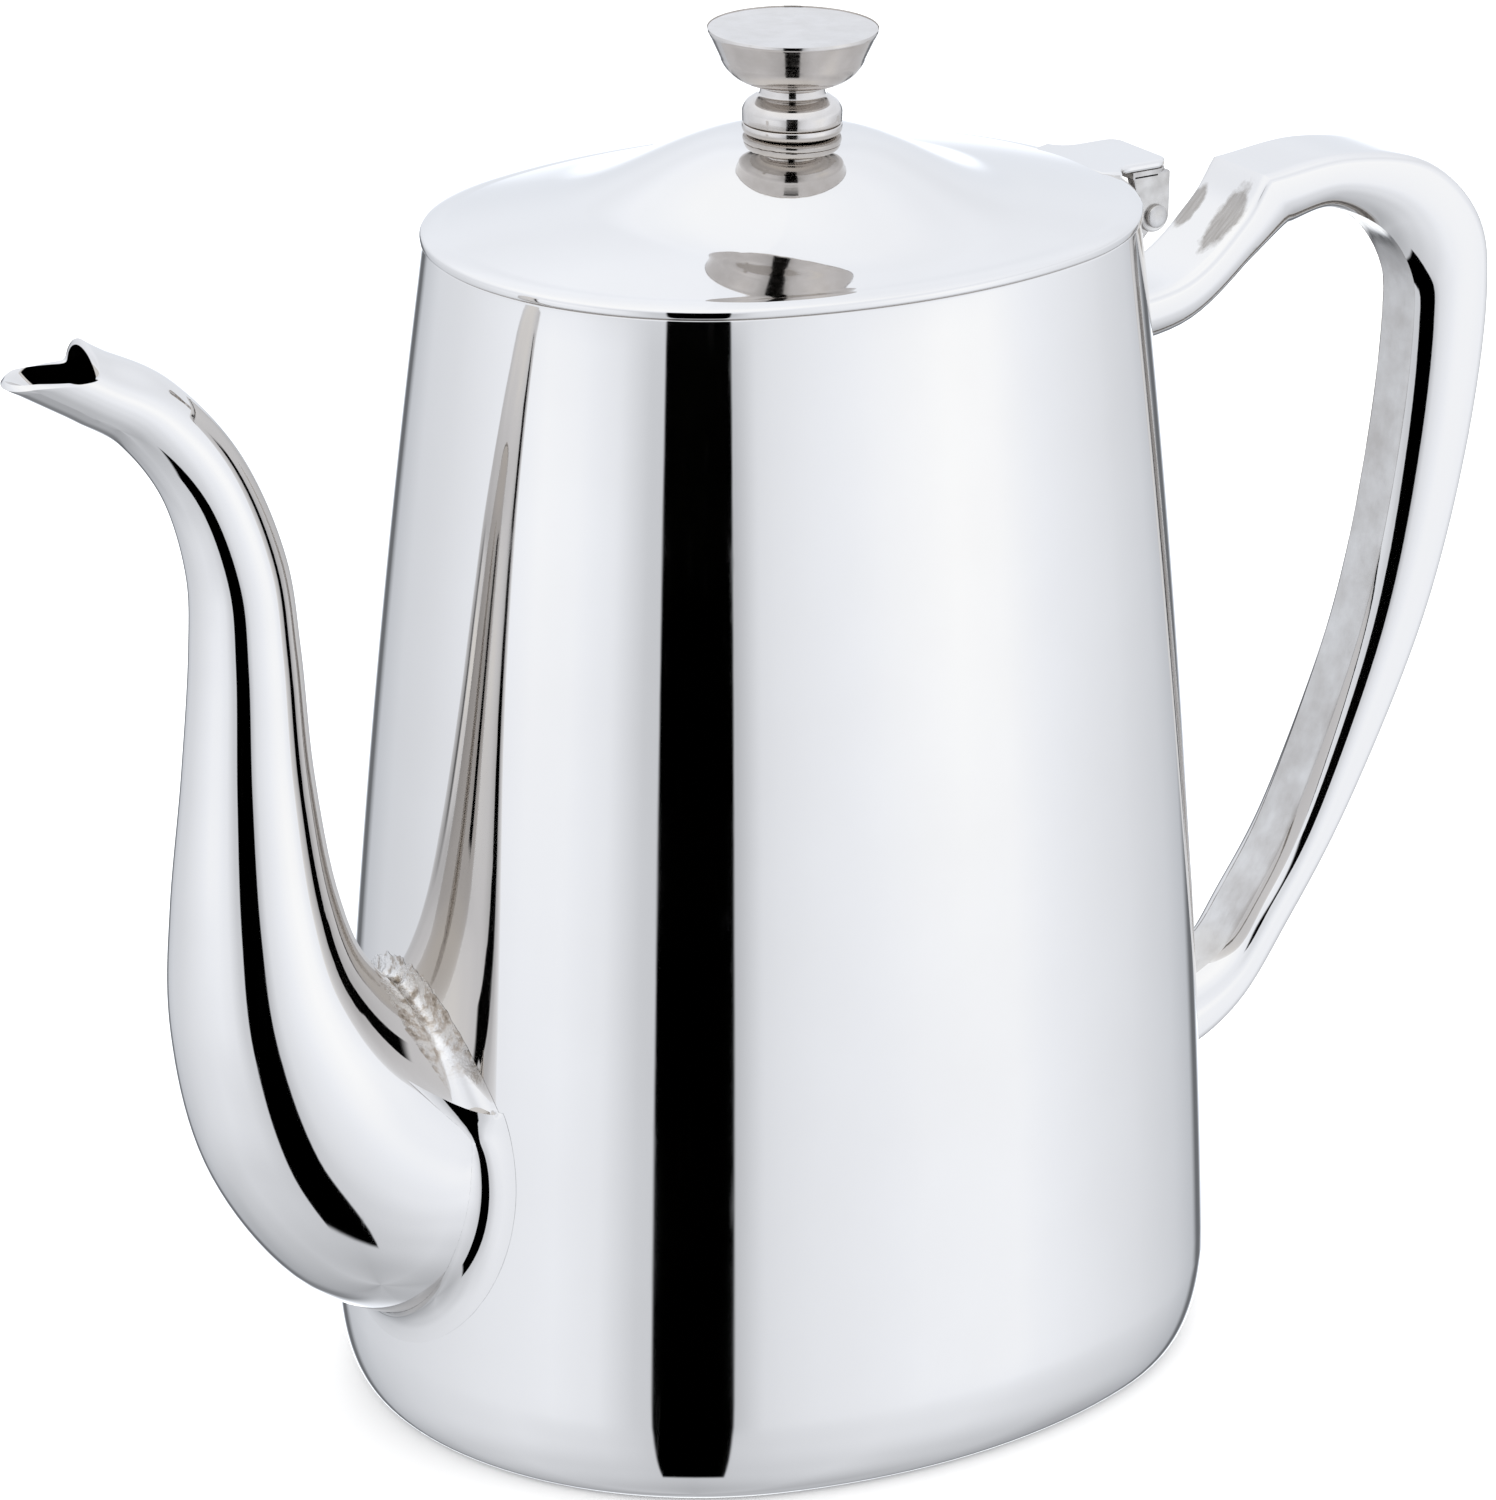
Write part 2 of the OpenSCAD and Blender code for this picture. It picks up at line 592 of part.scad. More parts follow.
body_shell();
base_plate();
mouth_band();
spout_left_half();
spout_right_half();
spout_fillet();
handle_outer_shell();
handle_inner_shell();
handle_upper_bead();
handle_lower_bead();
hinge_bracket();
hinge_pin();
lid_shell();
lid_skirt();
lid_hinge_leaf();
knob();
knob_ring();
knob_screw();
knob_spring_washer();
knob_flat_washer();
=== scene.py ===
# A hinged coffee pot in polished steel: a pressed oval body with a gooseneck spout, a folded
# hollow handle and a domed lid with a turned knob. Lengths are in millimetres until a point is
# placed, and in metres after that. The spout points to -X, the handle to +X, and up is Z.
import bpy
import bmesh
import math
from mathutils import Matrix, Vector


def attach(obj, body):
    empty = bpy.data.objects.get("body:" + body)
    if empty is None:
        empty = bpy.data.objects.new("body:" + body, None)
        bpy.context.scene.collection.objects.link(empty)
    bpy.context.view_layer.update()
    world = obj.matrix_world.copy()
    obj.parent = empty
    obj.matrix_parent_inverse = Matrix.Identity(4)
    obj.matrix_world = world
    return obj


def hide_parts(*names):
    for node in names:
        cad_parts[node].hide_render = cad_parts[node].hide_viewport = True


MM = 0.001

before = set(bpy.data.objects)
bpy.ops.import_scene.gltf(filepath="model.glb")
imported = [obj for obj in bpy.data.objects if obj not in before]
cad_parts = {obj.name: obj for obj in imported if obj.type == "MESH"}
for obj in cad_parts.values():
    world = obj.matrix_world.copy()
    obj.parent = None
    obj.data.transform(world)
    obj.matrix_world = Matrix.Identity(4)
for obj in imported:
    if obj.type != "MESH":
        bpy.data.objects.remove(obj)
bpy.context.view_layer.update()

# ---- Sizes, as the CAD part has them -----------------------------------------------------

MOUTH_HALF_W = 36.1
LONGER_BY = 10.1
SIDE_FLAT = 2.0
BODY_H = 150.1
FLARE = 12.5
SWELL = 1.5
WALL = 0.8
CORNER_IN = 3.4
CORNER_H = 11.4
BASE_T = 1.0
BAND_H = 5.0
BAND_T = 0.8
WELD_GAP = 0.12
MOUTH_HALF_L = MOUTH_HALF_W + LONGER_BY
END_R = MOUTH_HALF_W - SIDE_FLAT
END_CX = MOUTH_HALF_L - END_R
SIDE_CY = (END_CX ** 2 - SIDE_FLAT ** 2) / (2 * SIDE_FLAT)
JOINT_A = math.atan2(SIDE_CY, END_CX)
BASE_OFF = FLARE - CORNER_IN

ROOT_Z = 38.0
LIP_Z = BODY_H - 2.9
SPOUT_WALL = 0.8
SPOUT_HOLE_R = 13.0
LIP_LEN = 10.6
FILLET_W = 3.6

HANDLE_TOP = BODY_H - 1.9
FOOT_Z = 28.6
OUTER_HALF_W = 6.2
INNER_HALF_W = 3.4   # the closing strip as it shows between the rolled sides
HANDLE_WALL = 1.0
BEAD = 1.2

LID_LAP = 0.35
LID_EDGE_T = 1.1
LID_EDGE_W = 2.0
LID_WALL = 0.8
LID_CROWN = 5.4
DOME_STEP = 5.0
LID_LOW = BODY_H + 0.05
LID_Z = LID_LOW + LID_EDGE_T
SKIRT_H = 3.0
SKIRT_T = 0.8
SKIRT_PLAY = 1.4

PIN_X = MOUTH_HALF_L + 6.3
PIN_Z = BODY_H - 5.4
PIN_R = 1.2
KNUCKLE_R = 2.2
TONGUE_HALF_W = 6.0
LEAF_T = 1.0
CHEEK_T = 1.6
SKIRT_CUT = 14.5
SIDE_PLAY = 0.15
HEAD_T = 0.8

KNOB_X = 1.0
COLLAR_R = 6.2
RING_T = 1.6
KNOB_R = 10.5
KNOB_H = 11.6
SCREW_R = 2.0
HOLE_R = 2.2
FLAT_IN = END_R + LID_LAP - COLLAR_R - 0.25


# ---- The body's wall ---------------------------------------------------------------------

def wall_off(z):
    """How far the wall stands out beyond the mouth's oval at height z."""
    if z >= CORNER_H:
        share = (BODY_H - z) / (BODY_H - CORNER_H)
        return FLARE * share + SWELL * 4 * share * (1 - share)
    turn = max(0.0, 1 - ((CORNER_H - z) / CORNER_H) ** 2)
    return FLARE - CORNER_IN * (1 - math.sqrt(turn))


def end_x(y, z):
    return END_CX + math.sqrt((END_R + wall_off(z)) ** 2 - y * y)


def seat_x(y, z):
    return end_x(y, z) + WELD_GAP


# ---- Curves ------------------------------------------------------------------------------

def spaced(first, last, count):
    return [first + (last - first) * i / (count - 1) for i in range(count)]


def path_knot(path, i):
    if i < 0:
        return [2 * a - b for a, b in zip(path[0], path[1])]
    if i >= len(path):
        return [2 * a - b for a, b in zip(path[-1], path[-2])]
    return path[i]


def along(path, u):
    """Point on the smooth curve through the path's knots, u counted in knots."""
    i = max(0, min(math.floor(u), len(path) - 2))
    t = u - i
    knots = [path_knot(path, i + k) for k in (-1, 0, 1, 2)]
    return [0.5 * (2 * b + (c - a) * t + (2 * a - 5 * b + 4 * c - d) * t * t
                   + (3 * b - a - 3 * c + d) * t ** 3) for a, b, c, d in zip(*knots)]


def halfway(inside, low, high, rounds=24):
    """Splits low..high until the place where inside(u) stops being true is found."""
    for _ in range(rounds):
        u = (low + high) / 2
        if inside(u):
            low = u
        else:
            high = u
    return (low + high) / 2


def rounded(corners, steps=4):
    """Outline through (x, z, radius) corners, each corner with a radius turned as an arc."""
    outline = []
    for i, (x, z, r) in enumerate(corners):
        p = Vector((x, z))
        if r == 0 or i in (0, len(corners) - 1):
            outline.append((x, z))
            continue
        back = Vector(corners[i - 1][:2]) - p
        ahead = Vector(corners[i + 1][:2]) - p
        start = p + back.normalized() * r
        finish = p + ahead.normalized() * r
        for t in spaced(0, 1, steps + 1):
            q = start * (1 - t) ** 2 + p * 2 * t * (1 - t) + finish * t * t
            outline.append((q.x, q.y))
    return outline


# ---- Ways of making ----------------------------------------------------------------------

def start_ring(name, points):
    """A ring of that many points, open for editing, with every point chosen."""
    bpy.ops.object.select_all(action="DESELECT")
    bpy.ops.mesh.primitive_circle_add(vertices=points, radius=MM)
    obj = bpy.context.active_object
    obj.name = name
    obj.data.name = name
    bpy.ops.object.mode_set(mode="EDIT")
    return obj


def close_up(crisp_angle=35.0):
    """Merges what meets, turns the faces outwards and shades the piece."""
    bpy.ops.mesh.select_all(action="SELECT")
    bpy.ops.mesh.remove_doubles(threshold=0.002 * MM)
    bpy.ops.mesh.normals_make_consistent(inside=False)
    bpy.ops.object.mode_set(mode="OBJECT")
    bpy.ops.object.shade_smooth_by_angle(angle=math.radians(crisp_angle))


def fill_open_ends():
    bpy.ops.mesh.select_all(action="DESELECT")
    bpy.ops.mesh.select_non_manifold()
    bpy.ops.mesh.fill_holes(sides=0)


def draw_line(name, outline, place):
    """One point is set down and drawn out along the outline; place turns it into a point."""
    obj = start_ring(name, 3)
    bpy.ops.mesh.merge(type="CENTER")
    points = [Vector(place(p)) * MM for p in outline]
    bpy.ops.transform.translate(value=points[0])
    for a, b in zip(points, points[1:]):
        bpy.ops.mesh.extrude_vertices_move(TRANSFORM_OT_translate={"value": b - a})
    bpy.ops.mesh.select_all(action="SELECT")
    return obj


def press_oval(name, outline, crisp_angle=35.0, filled=False):
    """An outline of (beyond the mouth's oval, height) carried round the oval's four arcs."""
    obj = draw_line(name, outline, lambda p: (MOUTH_HALF_L + p[0], 0, p[1]))
    side_turn = math.pi - 2 * JOINT_A
    arcs = [((END_CX, 0), JOINT_A, 26), ((0, SIDE_CY), side_turn, 18),
            ((-END_CX, 0), 2 * JOINT_A, 52), ((0, -SIDE_CY), side_turn, 18),
            ((END_CX, 0), JOINT_A, 26)]
    for (x, y), angle, steps in arcs:
        bpy.ops.mesh.spin(steps=steps, angle=angle, center=(x * MM, y * MM, 0), axis=(0, 0, 1))
    if filled:
        bpy.ops.mesh.select_all(action="SELECT")
        bpy.ops.mesh.remove_doubles(threshold=0.002 * MM)
        fill_open_ends()
    close_up(crisp_angle)
    return obj


def turn_on_lathe(name, outline, centre, axis=(0, 0, 1), steps=96, crisp_angle=35.0):
    """An outline of (radius, distance along the axis) turned all the way round."""
    upright = axis[2] == 1
    obj = draw_line(name, outline, lambda p: (centre[0] + p[0], 0, centre[1] + p[1]) if upright
                    else (centre[0] + p[0], p[1], centre[1]))
    hub = (centre[0] * MM, 0, 0) if upright else (centre[0] * MM, 0, centre[1] * MM)
    bpy.ops.mesh.spin(steps=steps, angle=2 * math.pi, center=hub, axis=axis)
    close_up(crisp_angle)
    return obj


def draw_out(name, rings, crisp_angle=35.0, ends="filled"):
    """A ring is drawn out again and again, and each new ring is set at its own place."""
    obj = start_ring(name, len(rings[0]))
    mesh = bmesh.from_edit_mesh(obj.data)
    place = mesh.verts.layers.int.new("place")
    for i, v in enumerate(mesh.verts):
        v[place] = i
    for number, ring in enumerate(rings):
        if number:
            bpy.ops.mesh.extrude_edges_indiv()
        mesh = bmesh.from_edit_mesh(obj.data)
        place = mesh.verts.layers.int["place"]
        for v in mesh.verts:
            if v.select:
                v.co = Vector(ring[v[place]]) * MM
    bmesh.update_edit_mesh(obj.data)
    if ends == "filled":
        fill_open_ends()
    close_up(crisp_angle)
    return obj


def cut_from_plate(name, outline, low, high, upright=True, soft=0.2, crisp_angle=30.0):
    """A flat outline given thickness, and its edges broken. Upright: the thickness runs up."""
    obj = start_ring(name, len(outline))
    mesh = bmesh.from_edit_mesh(obj.data)
    mesh.verts.ensure_lookup_table()
    for v, (a, b) in zip(mesh.verts, outline):
        v.co = Vector((a, b, low) if upright else (a, low, b)) * MM
    bmesh.update_edit_mesh(obj.data)
    bpy.ops.mesh.edge_face_add()
    step = (high - low) * MM
    bpy.ops.mesh.extrude_region_move(
        TRANSFORM_OT_translate={"value": (0, 0, step) if upright else (0, step, 0)})
    close_up(crisp_angle)
    break_edges(obj, soft)
    return obj


def use(obj, kind, **settings):
    """Puts one modifier on a piece and applies it."""
    bpy.ops.object.select_all(action="DESELECT")
    bpy.context.view_layer.objects.active = obj
    obj.select_set(True)
    tool = obj.modifiers.new(kind.title(), kind)
    for key, value in settings.items():
        setattr(tool, key, value)
    bpy.ops.object.modifier_apply(modifier=tool.name)


def break_edges(obj, width, segments=2, crisp_angle=30.0):
    use(obj, "BEVEL", width=width * MM, segments=segments, limit_method="ANGLE",
        angle_limit=math.radians(40))
    bpy.ops.object.shade_smooth_by_angle(angle=math.radians(crisp_angle))


def join(obj, *others):
    bpy.ops.object.select_all(action="DESELECT")
    for o in (obj,) + others:
        o.select_set(True)
    bpy.context.view_layer.objects.active = obj
    bpy.ops.object.join()
    return obj


def cut_away(obj, cutter):
    """Takes the cutter's shape out of a piece."""
    use(obj, "BOOLEAN", object=cutter, operation="DIFFERENCE", solver="EXACT")
    bpy.data.objects.remove(cutter)
    bpy.ops.object.shade_smooth_by_angle(angle=math.radians(35))


def fit(obj, body, slot, finish, *nodes):
    """A finished piece gets its finish, rides on its body and stands for its CAD nodes."""
    obj.data.materials.clear()
    obj.data.materials.append(finish)
    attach(obj, body)
    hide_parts(*nodes)


# ---- Finishes ----------------------------------------------------------------------------

class Finish:
    """A metal surface put together from nodes; where is the place on the piece it is read at."""

    def __init__(self, name, colour, rough):
        self.material = bpy.data.materials.new(name)
        self.material.use_nodes = True
        self.tree = self.material.node_tree
        self.shader = self.tree.nodes["Principled BSDF"]
        self.shader.inputs["Metallic"].default_value = 1.0
        self.shader.inputs["Base Color"].default_value = (*colour, 1)
        self.shader.inputs["Roughness"].default_value = rough
        self.where = self.add("ShaderNodeTexCoord").outputs["Object"]

    def add(self, kind, **settings):
        node = self.tree.nodes.new(kind)
        for key, value in settings.items():
            setattr(node, key, value)
        return node

    def link(self, a, b):
        self.tree.links.new(a, b)

    def placed(self, scale=(1, 1, 1), location=(0, 0, 0), turn=(0, 0, 0)):
        node = self.add("ShaderNodeMapping")
        node.inputs["Scale"].default_value = scale
        node.inputs["Location"].default_value = location
        node.inputs["Rotation"].default_value = turn
        self.link(self.where, node.inputs["Vector"])
        return node.outputs["Vector"]

    def noise(self, vector, scale, detail=4.0, rough=0.55):
        node = self.add("ShaderNodeTexNoise")
        node.inputs["Scale"].default_value = scale
        node.inputs["Detail"].default_value = detail
        node.inputs["Roughness"].default_value = rough
        self.link(vector, node.inputs["Vector"])
        return node.outputs["Fac"]

    def spread(self, value, low, high, start=0.3, finish=0.7):
        node = self.add("ShaderNodeMapRange")
        node.inputs["From Min"].default_value = start
        node.inputs["From Max"].default_value = finish
        node.inputs["To Min"].default_value = low
        node.inputs["To Max"].default_value = high
        self.link(value, node.inputs["Value"])
        return node.outputs["Result"]

    def sum(self, a, b, operation="ADD"):
        node = self.add("ShaderNodeMath", operation=operation)
        for value, socket in ((a, node.inputs[0]), (b, node.inputs[1])):
            if isinstance(value, (int, float)):
                socket.default_value = value
            else:
                self.link(value, socket)
        return node.outputs[0]

    def rings(self, x, squash=1.0):
        """Distance from an upright line through x on the X axis, as a vector to read noise by."""
        apart = self.add("ShaderNodeSeparateXYZ")
        self.link(self.placed(location=(-x * MM, 0, 0)), apart.inputs[0])
        across = self.sum(apart.outputs[0], apart.outputs[0], "MULTIPLY")
        deep = self.sum(apart.outputs[1], apart.outputs[1], "MULTIPLY")
        out = self.sum(self.sum(across, deep), 0.5, "POWER")
        together = self.add("ShaderNodeCombineXYZ")
        self.link(out, together.inputs[0])
        self.link(self.sum(apart.outputs[2], squash, "MULTIPLY"), together.inputs[2])
        return together.outputs[0]

    def colours(self, value, stops):
        node = self.add("ShaderNodeValToRGB")
        ramp = node.color_ramp
        for place, colour in stops[2:]:
            ramp.elements.new(place).color = (*colour, 1)
        for element, (place, colour) in zip(ramp.elements, sorted(stops)):
            element.position = place
            element.color = (*colour, 1)
        self.link(value, node.inputs["Fac"])
        self.link(node.outputs["Color"], self.shader.inputs["Base Color"])

    def roughen(self, value):
        self.link(value, self.shader.inputs["Roughness"])

    def bump(self, value, depth, strength=1.0):
        node = self.add("ShaderNodeBump")
        node.inputs["Strength"].default_value = strength
        node.inputs["Distance"].default_value = depth * MM
        self.link(value, node.inputs["Height"])
        self.link(node.outputs["Normal"], self.shader.inputs["Normal"])


def polished_sheet():
    f = Finish("polished_sheet", (0.64, 0.615, 0.59), 0.03)
    cloud = f.noise(f.where, 45)
    hairs = f.noise(f.placed((900, 900, 40), turn=(0.2, 0.15, 0)), 1, 2)
    f.roughen(f.sum(f.spread(cloud, 0.02, 0.05), f.spread(hairs, 0, 0.03, 0.62, 0.72)))
    f.colours(cloud, [(0.3, (0.632, 0.607, 0.582)), (0.7, (0.648, 0.624, 0.6))])
    f.bump(f.sum(hairs, f.noise(f.where, 60, 2), "ADD"), 0.0012, 0.5)
    return f.material


def handle_sheet():
    """Polished like the body, with two patches on the neck made rougher and painted darker as
    painted shade.
    """
    f = Finish("handle_sheet", (0.64, 0.615, 0.59), 0.03)
    cloud = f.noise(f.where, 45)
    hairs = f.noise(f.placed((300, 2400, 300), turn=(0, 0.9, 0)), 1, 4)
    shade_patches = 0.0
    # two patches on the neck: rougher, and painted darker as painted shade
    for centre, size in (((67.2, -3.0, 139.5), (0.0056, 0.0030, 0.0082)),
                         ((66.0, 4.4, 141.0), (0.0035, 0.0018, 0.0055))):
        apart = f.add("ShaderNodeVectorMath", operation="LENGTH")
        f.link(f.placed([1 / a for a in size], [-c * MM / a for c, a in zip(centre, size)]),
               apart.inputs[0])
        ragged = f.sum(apart.outputs["Value"], f.sum(f.noise(f.where, 500, 4), 0.7, "MULTIPLY"))
        shade_patches = f.sum(shade_patches, f.spread(ragged, 1.0, 0.0, 1.05, 1.3), "MAXIMUM")
    roughness_and_painted_shade = f.sum(shade_patches, f.spread(hairs, 0.75, 1.0), "MULTIPLY")
    f.roughen(f.sum(f.spread(cloud, 0.02, 0.05), f.sum(roughness_and_painted_shade, 0.3, "MULTIPLY")))
    # painted shade: the two neck patches get a much darker base colour
    f.colours(roughness_and_painted_shade, [(0.0, (0.64, 0.615, 0.59)), (1.0, (0.3, 0.275, 0.25))])
    f.bump(hairs, 0.004, 0.4)
    return f.material


def satin_sheet():
    f = Finish("satin_sheet", (0.58, 0.56, 0.54), 0.28)
    lines = f.noise(f.placed((60, 60, 2600)), 1, 3)
    f.roughen(f.spread(lines, 0.2, 0.36))
    f.colours(f.noise(f.where, 80), [(0.3, (0.54, 0.52, 0.5)), (0.7, (0.6, 0.58, 0.56))])
    f.bump(lines, 0.01, 0.6)
    return f.material


def brushed_strip():
    f = Finish("brushed_strip", (0.5, 0.48, 0.46), 0.16)
    scratches = f.noise(f.placed((500, 1500, 60), turn=(0, 0.25, 0)), 1, 4)
    f.roughen(f.spread(scratches, 0.1, 0.26))
    f.colours(f.noise(f.where, 180, 5), [(0.3, (0.42, 0.395, 0.37)), (0.7, (0.56, 0.54, 0.52))])
    f.bump(scratches, 0.006, 0.6)
    return f.material


def weld_metal():
    """Polished like the sheet, but rough and stained above the spout's root."""
    f = Finish("weld_metal", (0.62, 0.59, 0.56), 0.06)
    apart = f.add("ShaderNodeSeparateXYZ")
    f.link(f.where, apart.inputs[0])
    top = f.spread(apart.outputs[2], 0.0, 1.0, 0.052, 0.06)
    lumps = f.noise(f.where, 700, 6, 0.65)
    f.roughen(f.sum(0.03, f.sum(top, f.spread(lumps, 0.02, 0.4), "MULTIPLY")))
    stain = f.sum(f.sum(lumps, 0.5, "SUBTRACT"), f.sum(top, 1.6, "MULTIPLY"), "MULTIPLY")
    f.colours(f.sum(stain, 0.5), [(0.2, (0.2, 0.16, 0.12)), (0.42, (0.5, 0.45, 0.4)),
                                  (0.5, (0.63, 0.605, 0.58)), (0.8, (0.78, 0.76, 0.74))])
    f.bump(f.sum(lumps, f.sum(top, 0.006), "MULTIPLY"), 0.35, 0.8)
    return f.material


def cast_fitting():
    f = Finish("cast_fitting", (0.55, 0.53, 0.51), 0.3)
    scratches = f.noise(f.placed((240, 2200, 500), turn=(0, 0.4, 0)), 1, 3)
    f.roughen(f.spread(scratches, 0.18, 0.42))
    f.colours(f.noise(f.where, 260, 5), [(0.32, (0.4, 0.38, 0.36)), (0.68, (0.62, 0.6, 0.58))])
    f.bump(scratches, 0.015, 0.7)
    return f.material


def turned_steel():
    f = Finish("turned_steel", (0.6, 0.57, 0.54), 0.08)
    lines = f.noise(f.rings(KNOB_X, 1.0), 2600, 3, 0.6)
    specks = f.noise(f.where, 900, 3)
    f.roughen(f.sum(f.spread(lines, 0.04, 0.15), f.spread(specks, 0, 0.06, 0.5, 0.8)))
    f.colours(f.noise(f.where, 300), [(0.3, (0.52, 0.485, 0.45)), (0.7, (0.6, 0.565, 0.535))])
    f.bump(lines, 0.006, 0.6)
    return f.material


def fastener_steel():
    f = Finish("fastener_steel", (0.45, 0.44, 0.43), 0.22)
    lines = f.noise(f.rings(KNOB_X, 3.0), 1800, 3)
    f.roughen(f.spread(lines, 0.15, 0.35))
    f.colours(f.noise(f.where, 500), [(0.3, (0.4, 0.39, 0.38)), (0.7, (0.5, 0.49, 0.48))])
    f.bump(lines, 0.01, 0.6)
    return f.material


POLISHED = polished_sheet()
HANDLE = handle_sheet()
SATIN = satin_sheet()
STRIP = brushed_strip()
WELD = weld_metal()
CAST = cast_fitting()
TURNED = turned_steel()
FASTENER = fastener_steel()


# ---- Body --------------------------------------------------------------------------------

def body_wall():
    rim = 0.35
    heights = spaced(BODY_H - 1, CORNER_H, 46)
    corner = [math.radians(a) for a in spaced(6, 90, 14)]
    outside = [(wall_off(z), z) for z in heights]
    outside += [(BASE_OFF + CORNER_IN * math.cos(a), CORNER_H * (1 - math.sin(a)))
                for a in corner]
    inside = [(BASE_OFF + (CORNER_IN - WALL) * math.cos(a),
               CORNER_H - (CORNER_H - BASE_T) * math.sin(a)) for a in reversed(corner)]
    inside += [(wall_off(z) - WALL, z) for z in reversed(heights)]
    edge = rounded([(-WALL + 0.05, BODY_H - 1, 0), (-WALL, BODY_H, rim), (0, BODY_H, rim),
                    (0.05, BODY_H - 1, 0)], 5)
    obj = press_oval("body_wall", inside + edge[1:-1] + outside + inside[:1])
    reach = 12
    drill = [(0, -reach), (SPOUT_HOLE_R, -reach), (SPOUT_HOLE_R, reach), (0, reach)]
    hole = turn_on_lathe("spout_hole", drill, (0, 0), steps=64)
    hole.data.transform(Matrix.Translation((-end_x(0, ROOT_Z) * MM, 0, ROOT_Z * MM))
                        @ Matrix.Rotation(math.pi / 2, 4, "Y"))
    cut_away(obj, hole)
    fit(obj, "pot", "polished_sheet", POLISHED, "body_shell")


def base_disc():
    obj = press_oval("base_disc", [(BASE_OFF - 0.02, BASE_T), (BASE_OFF - 0.02, 0.15),
                                   (BASE_OFF - 0.17, 0), (BASE_OFF - 6, 0),
                                   (BASE_OFF - 6.8, 0.35)], filled=True)
    fit(obj, "pot", "satin_sheet", SATIN, "base_plate")


def mouth_band():
    low = BODY_H - BAND_H
    outer = -WALL - 0.02
    inner = -WALL - BAND_T
    lean = wall_off(low)
    obj = press_oval("mouth_band_rolled", rounded([
        (outer, BODY_H - 1, 0), (outer, BODY_H - 0.25, 0.2), (inner, BODY_H - 0.25, 0.3),
        (inner + lean, low, 0.3), (outer + lean, low, 0.2), (outer, BODY_H - 1, 0)]))
    fit(obj, "pot", "satin_sheet", SATIN, "mouth_band")


# ---- Spout -------------------------------------------------------------------------------

# Path from root to lip: distance out from the body, share of the rise, half thickness, half width
SPOUT_PATH = [(-6, 0, 23.4, 17.7), (1.8, 0.02, 20.1, 17.2), (10.6, 0.107, 16.9, 14.6),
              (16.4, 0.222, 13.2, 12.4), (18.6, 0.344, 10.4, 10.4), (19.1, 0.498, 8.1, 8.1),
              (19.1, 0.644, 6.8, 6.8), (20, 0.748, 6.1, 6.1), (24.1, 0.855, 5.4, 5.4),
              (31.1, 0.938, 4.9, 4.9), (39, 0.984, 4.5, 4.8)]
SPOUT_X = end_x(0, ROOT_Z)
SPOUT_KNOTS = [(-SPOUT_X - out, ROOT_Z + share * (LIP_Z - ROOT_Z), thick, wide)
               for out, share, thick, wide in SPOUT_PATH]
SPOUT_LINES = 96
SPOUT_RINGS = 90
LIP_REACH = LIP_LEN - 1.3     # along the middle of the open lip
LIP_ROUNDING = 4.5            # how much shorter its two corners are
LIP_HALF_W = 4.9
HOOD_AHEAD = 0.2


def spout_point(u, angle):
    x, z, thick, wide = along(SPOUT_KNOTS, u)
    before, after = along(SPOUT_KNOTS, u - 0.05), along(SPOUT_KNOTS, u + 0.05)
    t = Vector((after[0] - before[0], after[1] - before[1])).normalized()
    return Vector((x + thick * math.cos(angle) * t.y, wide * math.sin(angle),
                   z - thick * math.cos(angle) * t.x))


def spout_start(angle):
    def in_the_wall(u):
        p = spout_point(u, angle)
        return -p.x < seat_x(p.y, p.z)
    return halfway(in_the_wall, 0, 2.8)


def spout_ring(share):
    ring = []
    for j in range(SPOUT_LINES):
        angle = 2 * math.pi * j / SPOUT_LINES
        start = spout_start(angle)
        ring.append(spout_point(start + (len(SPOUT_PATH) - 1 - start) * share, angle))
    return ring


def lip_rings(ring, steps=8):
    """Carries the last ring on, up to the hood's edge and out along the open lip."""
    end = len(SPOUT_PATH) - 1
    ahead = spout_point(end, math.pi / 2) - spout_point(end - 0.1, math.pi / 2)
    ahead.y = 0
    ahead.normalize()
    hood_x = SPOUT_KNOTS[-1][0] - HOOD_AHEAD
    runs = []
    for p in ring:
        across = math.sqrt(max(0.0, 1 - (p.y / LIP_HALF_W) ** 2))
        blunt = LIP_REACH - LIP_ROUNDING * (1 - across)
        level = (LIP_Z - 0.1 - p.z) / ahead.z
        runs.append(max((hood_x - p.x) / ahead.x, min(level, blunt)))
    for _ in range(3):
        runs = [(runs[k - 1] + 2 * runs[k] + runs[(k + 1) % len(runs)]) / 4
                for k in range(len(runs))]
    return [[p + ahead * run * k / steps for run, p in zip(runs, ring)]
            for k in range(1, steps + 1)]


def spout_tube():
    """The outer skin is drawn out first, turned to face outwards, and thickened inwards."""
    rings = [spout_ring(share) for share in spaced(0, 1, SPOUT_RINGS)]
    obj = draw_out("spout_tube", rings + lip_rings(rings[-1]), 50, ends="open")
    bpy.ops.object.mode_set(mode="EDIT")
    bpy.ops.mesh.select_all(action="SELECT")
    bpy.ops.mesh.flip_normals()
    bpy.ops.object.mode_set(mode="OBJECT")
    use(obj, "SOLIDIFY", thickness=SPOUT_WALL * MM, offset=-1.0, use_rim=True)
    use(obj, "BEVEL", width=0.3 * MM, segments=3, limit_method="ANGLE",
        angle_limit=math.radians(60))
    bpy.ops.object.shade_smooth_by_angle(angle=math.radians(60))
    fit(obj, "pot", "polished_sheet", POLISHED, "spout_left_half", "spout_right_half")


BLEND_GAP = 0.02      # the edge of a weld is worked down this close to the wall


def beside(p, middle_z, out, end):
    """Point on the wall, out from p and away from a joint's middle."""
    d = Vector((p.y, p.z - middle_z)).normalized()
    y, z = p.y + out * d.x, p.z + out * d.y
    return Vector((end * (end_x(y, z) + BLEND_GAP), y, z))


